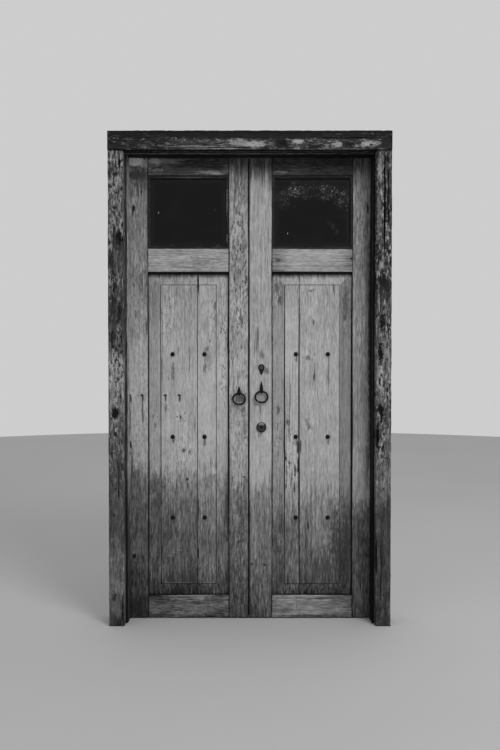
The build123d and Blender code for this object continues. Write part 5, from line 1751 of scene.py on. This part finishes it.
def right_leaf() -> DoorLeaf:
    """The right leaf, paler, with the dirt at its lower right."""
    stains = {
        "lock_stile": (
            # Stain(-3.8, 780) is painted shade in the gap between the leaves.
            Stain(-3.8, 780, 1.8, 850, 0.03, 0.6, 0, 0.7), Stain(42, 2078, 30, 22, 0.16, 0.6, 2, 0.4),
            Stain(54, 1210, 16, 24, 0.38, 0.7, 1.8), Stain(51, 1409, 4, 5, 0.3, 0.8, 0.8, 0.4),
            Stain(74, 1138, 20, 20, 0.36, 0.75, 1.8), Stain(30, 1155, 12, 16, 0.48, 0.4, 1.8),
            Stain(53, 1012, 40, 36, 0.5, 0.3, 1.8, 0.2), Stain(25, 985, 20, 12, 0.42, 0.45, 2, 0.2),
            Stain(48, 960, 6, 34, 0.36, 0.7, 1.6), Stain(46, 925, 3, 20, 0.44, 0.6, 1.6),
            Stain(40, 842, 4.5, 24, 0.36, 0.65, 1.8), Stain(50, 850, 6, 18, 0.34, 0.6, 1.8),
            Stain(10, 252, 8, 8, 0.14, 0.8, 1.8, 0.4), Stain(67, 248, 9, 8, 0.16, 0.75, 1.8, 0.4),
            Stain(35, 453, 8, 2.5, 0.2, 0.7, 1, 0.4), Stain(85, 340, 12, 100, 0.28, 0.4, 2.2, 0.2),
            Stain(0, 50, 20, 40, 0.16, 0.5, 2.2, 0.2),
        ),
        "hinge_stile": (
            # Stain(549, 1300) is the painted shadow that the right post casts on the stile.
            Stain(549, 1300, 14, 820, 0.1, 0.8, 1.4, 0.2), Stain(536, 1876, 7, 30, 0.1, 0.9, 1.6, 0.4),
            Stain(534, 1800, 6, 60, 0.26), Stain(534, 1600, 10, 300, 0.34, 0.45, 2.4, 0.2),
            Stain(534, 290, 4, 11, 0.05, 0.95, 0.8, 0.5), Stain(531, 300, 5, 3.5, 0.08, 0.9, 0.6, 0.5),
            Stain(536, 720, 10, 150, 0.22, 0.5, 2.2, 0.2), Stain(500, 2000, 6, 50, 0.5, 0.5, 1.8),
            Stain(520, 2020, 5, 50, 0.46, 0.5, 1.8),
        ),
        "top_rail": (
            Stain(150, 2041, 48, 9, 0.44, 0.7, 2.2), Stain(230, 2050, 40, 10, 0.3, 0.5, 2.4),
            Stain(360, 2052, 50, 10, 0.26, 0.5, 2.4),
        ),
        "middle_rail": (
            Stain(128, 1642, 16, 8, 0.22, 0.75, 2.2, 0.4), Stain(118, 1652, 14, 14, 0.34, 0.6, 2.8, 0.2),
            Stain(462, 1650, 9, 7, 0.1, 0.9, 1.4, 0.5), Stain(450, 1615, 20, 14, 0.34, 0.5, 2.4, 0.2),
        ),
        "bottom_rail": (
            Stain(280, 105, 190, 3.5, 0.66, 0.7, 1.4, 0.4), Stain(340, 94, 70, 8, 0.24, 0.6, 2.2),
            Stain(165, 38, 50, 16, 0.28, 0.6, 2.4, 0.2), Stain(280, 12, 200, 9, 0.14, 0.65),
            Stain(215, 70, 1.6, 40, 0.26, 0.6, 0.8, 0.5),
        ),
        "inner_board": (
            *nail_rust(210.5, (30, 50, 40)),
            Stain(122, 1515, 14, 45, 0.26, 0.6, 2.8, 0.2), Stain(138, 1465, 14, 35, 0.24, 0.65, 2.8, 0.2),
            Stain(130, 957, 12, 30, 0.24, 0.6, 2.6, 0.2), Stain(128, 310, 20, 28, 0.22, 0.6, 2.6, 0.2),
            Stain(140, 420, 12, 80, 0.24, 0.5, 2.4, 0.2), Stain(174, 902, 9, 22, 0.16, 0.75, 3, 0.2),
            Stain(206, 680, 5, 35, 0.14, 0.8, 3), Stain(204, 600, 4, 45, 0.16, 0.8, 3),
            Stain(166, 608, 3.5, 20, 0.1, 0.85, 1.8, 0.4), Stain(165, 735, 6, 14, 0.14, 0.8, 2.4),
            Stain(180, 715, 6, 12, 0.14, 0.8, 2.4), Stain(221, 700, 4.5, 70, 0.14, 0.8, 2.4),
            Stain(219, 790, 6, 48, 0.22, 0.8, 1.6, 0.4), Stain(190, 330, 8, 60, 0.24, 0.6, 2.6, 0.2),
            Stain(159, 880, 3.4, 700, 0.03, 0.95, 0.4, 0.6), Stain(103, 900, 3.2, 700, 0.1, 0.8, 1.6, 0.5),
            Stain(224, 880, 2.8, 720, 0.05, 0.85, 0.4, 0.6),
        ),
        "outer_board": (
            *nail_rust(356.2, (40, 40, 200)),
            # Stain(465.5, 900) is joint dirt and painted shade along the hinge stile's edge.
            Stain(232, 790, 6, 48, 0.22, 0.75, 1.6, 0.4), Stain(465.5, 900, 3.8, 750, 0.05, 0.9, 0.6, 0.6),
            Stain(436, 1430, 30, 100, 0.3, 0.45, 2.4, 0.2), Stain(290, 1361, 10, 16, 0.24, 0.65, 2.8, 0.2),
            Stain(262, 1198, 18, 16, 0.3, 0.6, 2.8, 0.2), Stain(266, 893, 14, 34, 0.26, 0.6, 3, 0.2),
            Stain(275, 1503, 14, 8, 0.3, 0.7), Stain(290, 1508, 10, 4, 0.34, 0.6, 1.6),
            Stain(434, 1380, 8, 20, 0.22, 0.65, 2.8, 0.2), Stain(440, 1460, 22, 130, 0.28, 0.5, 2.6, 0.2),
            Stain(443, 640, 20, 110, 0.56, 0.5, 2, 0.2), Stain(358, 600, 4, 50, 0.36, 0.4, 2.4, 0.2),
            Stain(400, 350, 44, 200, 0.2, 0.8, 2.6, 0.05), Stain(385, 470, 24, 80, 0.3, 0.5, 2.4, 0.2),
            Stain(350, 250, 34, 110, 0.24, 0.6, 2.6, 0.1), Stain(310, 240, 14, 80, 0.28, 0.5, 2.6, 0.2),
            Stain(446, 360, 36, 210, 0.2, 0.8, 2.6, 0.1), Stain(300, 360, 30, 50, 0.5, 0.3, 2.4, 0.2),
        ),
    }
    zones = {
        "lock_stile": (Stain(50, 200, 50, 200, 0, 0.4, 1.6, 0.35),),
        "hinge_stile": (
            Stain(510, 1750, 50, 280, 0, 0.55, 1.6, 0.35), Stain(510, 1300, 50, 200, 0, 0.4, 1.6, 0.35),
        ),
        "inner_board": (
            Stain(125, 1500, 30, 100, 0, 0.7, 1.6, 0.35), Stain(190, 720, 35, 200, 0, 0.62, 1.6, 0.35),
            Stain(175, 920, 20, 60, 0, 0.6, 1.6, 0.35), Stain(130, 350, 40, 160, 0, 0.6, 1.6, 0.35),
            Stain(130, 800, 30, 250, 0, 0.5, 1.6, 0.35),
        ),
        "outer_board": (
            Stain(270, 1200, 50, 50, 0, 0.5, 1.6, 0.35), Stain(270, 890, 30, 60, 0, 0.6, 1.6, 0.35),
            Stain(435, 1420, 25, 140, 0, 0.6, 1.6, 0.35),
        ),
    }
    traits = {
        "hinge_stile": {"flecks": 0.20, "clouds": 0.35, "mottle": 0.05, "drip": 0.11},
        "lock_stile": {"flecks": 0.05, "clouds": 0.3, "mottle": 0.06, "drip": 0.14},
        "top_rail": {"flecks": 0.4, "clouds": 0.9, "drip": 0.03},
        "middle_rail": {"flecks": 0.15, "cracks": 0.8, "drip": 0.02, "clouds": 0.35},
        "bottom_rail": {"flecks": 0.2, "clouds": 0.6, "drip": 0.03},
        "inner_board": {"flecks": 0.2, "bevel_shade": 0.12, "dirt_reach": 0.0026, "top_shade": 0.93},
        "outer_board": {"flecks": 0.15, "clouds": 0.4, "bevel_shade": 0.22, "dirt_reach": 0.0026,
                        "top_shade": 0.9},
    }
    return DoorLeaf(
        "right", 41.0,
        # The dark tones at the tops of the stiles and along the top rail are partly painted shade under the
        # head.
        {"hinge_stile": tones({2.115: 64, 2.06: 68, 1.98: 106, 1.85: 116, 1.60: 122, 1.30: 138, 0.95: 134,
                               0.68: 146, 0.58: 150, 0.51: 106, 0.42: 86, 0.25: 76, 0.0: 70}),
         "lock_stile": tones({2.115: 66, 2.06: 72, 1.99: 126, 1.90: 150, 1.60: 148, 1.30: 152, 0.70: 166,
                              0.60: 136, 0.50: 114, 0.40: 108, 0.26: 104, 0.14: 86, 0.0: 74})},
        {"top_rail": tones({0.10: 50, 0.22: 44, 0.34: 36, 0.468: 38}),
         "middle_rail": tones({0.10: 104, 0.16: 128, 0.20: 146, 0.34: 146, 0.42: 134, 0.468: 108}),
         "bottom_rail": tones({0.10: 108, 0.20: 132, 0.28: 124, 0.36: 108, 0.468: 88})},
        {"inner_board": tones({1.60: 146, 1.54: 148, 1.34: 166, 1.15: 170, 0.84: 164, 0.66: 156, 0.56: 146,
                               0.50: 118, 0.38: 106, 0.26: 98, 0.17: 92, 0.09: 60}),
         "outer_board": tones({1.60: 156, 1.54: 152, 1.34: 153, 1.10: 162, 0.80: 161, 0.62: 156, 0.54: 130,
                               0.42: 116, 0.34: 106, 0.26: 82, 0.17: 78, 0.09: 50})},
        stains, zones, traits, -MEETING_SLOPE,
        webs=(Stain(195, 1958, 80, 62, 0.58, 1, 2, 0.1), Stain(150, 1925, 60, 62, 0.56, 1, 2, 0.1),
              Stain(350, 1968, 80, 52, 0.5, 1, 2, 0.1), Stain(265, 1960, 60, 45, 0.34, 1, 2, 0.1),
              Stain(425, 1930, 50, 85, 0.4, 1, 2, 0.1)),
        # Painted highlights on the pane.
        glints=(Stain(173, 1766, 2.6, 5.5, 0.7, 0.95, 0.1), Stain(440, 1890, 2.6, 3, 0.55, 0.9, 0.1),
                Stain(443, 1872, 2.2, 2.6, 0.5, 0.9, 0.1), Stain(205, 1890, 2.2, 2.4, 0.4, 0.9, 0.1),
                # A faint painted reflection across the lower right of the pane.
                Stain(398, 1776, 14, 22, 0.19, 0.7, 0.4, 0), Stain(380, 1798, 16, 24, 0.2, 0.7, 0.4, 0),
                Stain(362, 1816, 14, 18, 0.17, 0.6, 0.4, 0)),
    )


def left_post() -> SurroundPlank:
    """The left plank of the surround with its knots."""
    node = "surround_post_left"
    stains = (
        Stain(-577, 2058, 7, 30, 0.06, 0.9, 1.6, 0.4), Stain(-592, 2006, 14, 16, 0.1, 0.8, 2.2),
        Stain(-597, 1860, 13, 10, 0.1, 0.85, 1.6, 0.4), Stain(-578, 1727, 18, 40, 0.04, 0.9, 2, 0.4),
        Stain(-615, 1630, 12, 60, 0.08, 0.75, 2.2), Stain(-595, 1525, 7, 35, 0.08, 0.75),
        Stain(-604, 1430, 20, 100, 0.12, 0.6, 2.8, 0.2), Stain(-577, 1400, 12, 50, 0.06, 0.75, 2.4),
        Stain(-610, 1290, 16, 40, 0.08, 0.75, 2.4), Stain(-582, 1215, 5, 25, 0.1, 0.7),
        Stain(-596, 950, 22, 30, 0.06, 0.92, 2.2, 0.5), Stain(-579, 955, 3, 14, 0.3, 0.6, 1),
        Stain(-597, 858, 10, 16, 0.1, 0.85, 2.2, 0.4), Stain(-595, 800, 4, 45, 0.16),
        Stain(-603, 496, 6, 10, 0.1, 0.8, 1.6, 0.4), Stain(-586, 70, 12, 50, 0.44),
        Stain(-566, 70, 5, 60, 0.06, 0.8, 1.6, 0.4), Stain(-604, 130, 12, 30, 0.14, 0.6, 2.6),
    )
    finish = WeatheredTimber(
        51.0, Grain.UPRIGHT,
        tones({2.112: 62, 1.85: 78, 1.70: 76, 1.58: 84, 1.42: 66, 1.30: 72, 1.22: 100, 1.12: 138,
               1.00: 128, 0.90: 108, 0.78: 84, 0.62: 74, 0.42: 76, 0.30: 88, 0.18: 92, 0.06: 72, 0.0: 50}),
        ((0.0, 0.1), (0.25, 0.3), (0.55, 0.05), (1.0, 0.15), (1.3, 0.1), (1.7, 0.3), (1.9, 0.45),
         (2.112, 0.4)),
        shown_box(node).shrunk(0.0, -0.008, 0.0, 0.0), 0.54, 1.3, flakes=0.75, stains=stains)
    return SurroundPlank(
        node, finish, Grain.UPRIGHT,
        splits=(Split(-0.577, 2.02, 2.10, 0.003, 0.009), Split(-0.604, 1.50, 1.80),
                Split(-0.585, 0.55, 0.80), Split(-0.570, 0.02, 0.14, 0.003)),
        hollows=(Hollow(-0.578, 2.058, 0.008, 0.032, 0.006), Hollow(-0.578, 1.727, 0.016, 0.035, 0.006)),
        burrs=(Burr(-0.596, 0.950, 0.026), Burr(-0.597, 0.858, 0.012, 0.003)),
    )


def right_post() -> SurroundPlank:
    """The right plank of the surround: split, rotten in places and eaten away at its inner edge."""
    node = "surround_post_right"
    stains = (
        Stain(574, 2030, 14, 80, 0.56, 0.7), Stain(570, 1860, 10, 140, 0.44, 0.6, 2.4, 0.2),
        Stain(578, 1740, 12, 100, 0.4, 0.55, 2.6, 0.2), Stain(595.5, 1880, 4.5, 250, 0.03, 0.95, 0.9, 0.5),
        Stain(608, 2075, 10, 20, 0.06, 0.8), Stain(612, 1900, 12, 160, 0.1, 0.7, 2.6, 0.2),
        Stain(588, 1603, 26, 20, 0.52, 0.6, 3, 0.2), Stain(589, 1536, 17, 34, 0.09, 0.85, 1.4, 0.6),
        Stain(588, 1355, 17, 44, 0.05, 0.9, 2.6), Stain(578, 1220, 13, 60, 0.05, 0.9, 2.6),
        Stain(600, 1235, 6, 50, 0.56), Stain(598, 1090, 3, 55, 0.12, 0.7),
        Stain(583, 965, 20, 32, 0.05, 0.92, 2.2, 0.5), Stain(567, 850, 10, 65, 0.04, 0.9, 1.8, 0.4),
        Stain(578, 828, 4, 10, 0.52, 0.7, 1.2), Stain(563, 305, 5, 80, 0.05, 0.85, 1.2, 0.4),
        Stain(569, 330, 3, 50, 0.46, 0.6, 1.4), Stain(592, 60, 12, 30, 0.4, 0.5, 2.4, 0.2),
    )
    finish = WeatheredTimber(
        54.0, Grain.UPRIGHT,
        tones({2.112: 48, 1.90: 64, 1.66: 44, 1.52: 44, 1.42: 80, 1.28: 94, 1.12: 116, 1.02: 98, 0.93: 74,
               0.80: 92, 0.70: 114, 0.60: 104, 0.50: 72, 0.25: 64, 0.0: 58}),
        ((0.0, 0.05), (0.3, 0.05), (0.65, 0.2), (0.85, 0.15), (1.05, 0.3), (1.3, 0.35), (1.6, 0.3),
         (1.9, 0.3), (2.112, 0.2)),
        shown_box(node).shrunk(-0.008, 0.0, 0.0, 0.0), 0.56, 1.5, flakes=0.85, stains=stains)
    return SurroundPlank(
        node, finish, Grain.UPRIGHT,
        splits=(Split(0.5955, 1.62, 2.112, 0.0034, 0.013, 0.004), Split(0.564, 0.22, 0.39, 0.003, 0.009),
                Split(0.610, 1.75, 2.10), Split(0.583, 0.10, 0.40)),
        hollows=(Hollow(0.588, 1.355, 0.018, 0.05, 0.007), Hollow(0.578, 1.22, 0.014, 0.07, 0.007),
                 Hollow(0.560, 0.85, 0.014, 0.075, 0.014), Hollow(0.589, 1.536, 0.018, 0.035, 0.003)),
        burrs=(Burr(0.583, 0.965, 0.027), Burr(0.600, 1.30, 0.016, 0.003, 5)),
    )


def head_plank() -> SurroundPlank:
    """The plank over the doorway, black along its top and worn pale in patches below."""
    node = "surround_head"
    stains = (
        Stain(0, 2194, 900, 14, 0.06, 0.9, 1, 0.6), Stain(0, 2176, 900, 18, 0.09, 0.85, 2, 0.5),
        Stain(-10, 2140, 115, 20, 0.5, 0.85, 1.8, 0.5), Stain(20, 2138, 60, 14, 0.62, 0.75, 1.8, 0.4),
        Stain(140, 2142, 40, 26, 0.09, 0.92, 1.8, 0.5), Stain(212, 2150, 34, 13, 0.62, 0.9, 1.8, 0.5),
        Stain(290, 2128, 55, 12, 0.1, 0.85, 2.2, 0.4), Stain(385, 2138, 32, 17, 0.58, 0.9, 2, 0.4),
        Stain(440, 2136, 24, 20, 0.1, 0.85, 2, 0.4), Stain(522, 2140, 44, 17, 0.6, 0.9, 2, 0.5),
        Stain(535, 2136, 10, 7, 0.07, 0.85, 1.4, 0.4), Stain(430, 2118, 160, 4, 0.4),
        Stain(-230, 2128, 150, 6, 0.56, 0.8, 1.8, 0.4), Stain(-150, 2121, 150, 3, 0.6, 0.7, 1.4, 0.4),
        Stain(-95, 2124.5, 130, 3, 0.05, 0.9, 1.4, 0.5), Stain(603, 2150, 22, 32, 0.13, 0.8, 0.8, 0.7),
        Stain(-500, 2140, 100, 20, 0.12, 0.5, 2.8, 0.2), Stain(0, 2114.5, 700, 3, 0.4, 0.4, 2, 0.4),
    )
    finish = WeatheredTimber(
        57.0, Grain.LEVEL,
        tones({-0.629: 36, -0.50: 38, -0.40: 40, -0.33: 54, -0.20: 62, -0.05: 74, 0.08: 58, 0.20: 58,
               0.35: 48, 0.50: 44, 0.57: 34, 0.629: 34}),
        ((-0.629, 0.15), (-0.5, 0.2), (-0.3, 0.2), (-0.05, 0.3), (0.08, 0.1), (0.2, 0.25), (0.35, 0.25),
         (0.5, 0.3), (0.57, 0.1), (0.629, 0.05)),
        shown_box(node), 0.50, 1.5, flakes=0.6, stains=stains)
    return SurroundPlank(
        node, finish, Grain.LEVEL,
        splits=(Split(2.124, -0.40, 0.03, 0.0022, 0.006), Split(2.131, -0.24, -0.04, 0.0018, 0.004),
                Split(2.165, 0.30, 0.55, 0.0022, 0.006)),
        hollows=(Hollow(2.136, 0.14, 0.016, 0.03, 0.004), Hollow(2.128, 0.44, 0.012, 0.03, 0.004)),
    )


def surround() -> Surround:
    """The surround with the weather marks that the photograph shows."""
    return Surround(
        left_post(), right_post(), head_plank(),
        tones({0.0: 48, 0.5: 84, 0.7: 134, 1.4: 146, 1.9: 130, 2.2: 80}),
        tones({-0.63: 74, 0.0: 90, 0.63: 58}),
    )


def main() -> None:
    """Builds the door, then the studio."""
    logging.basicConfig(level=logging.INFO, format="%(name)s %(message)s")
    surround().build()
    left_leaf().build()
    right_leaf().build()
    Ironmongery().build()
    Studio().build()


if __name__ == "__main__":
    main()
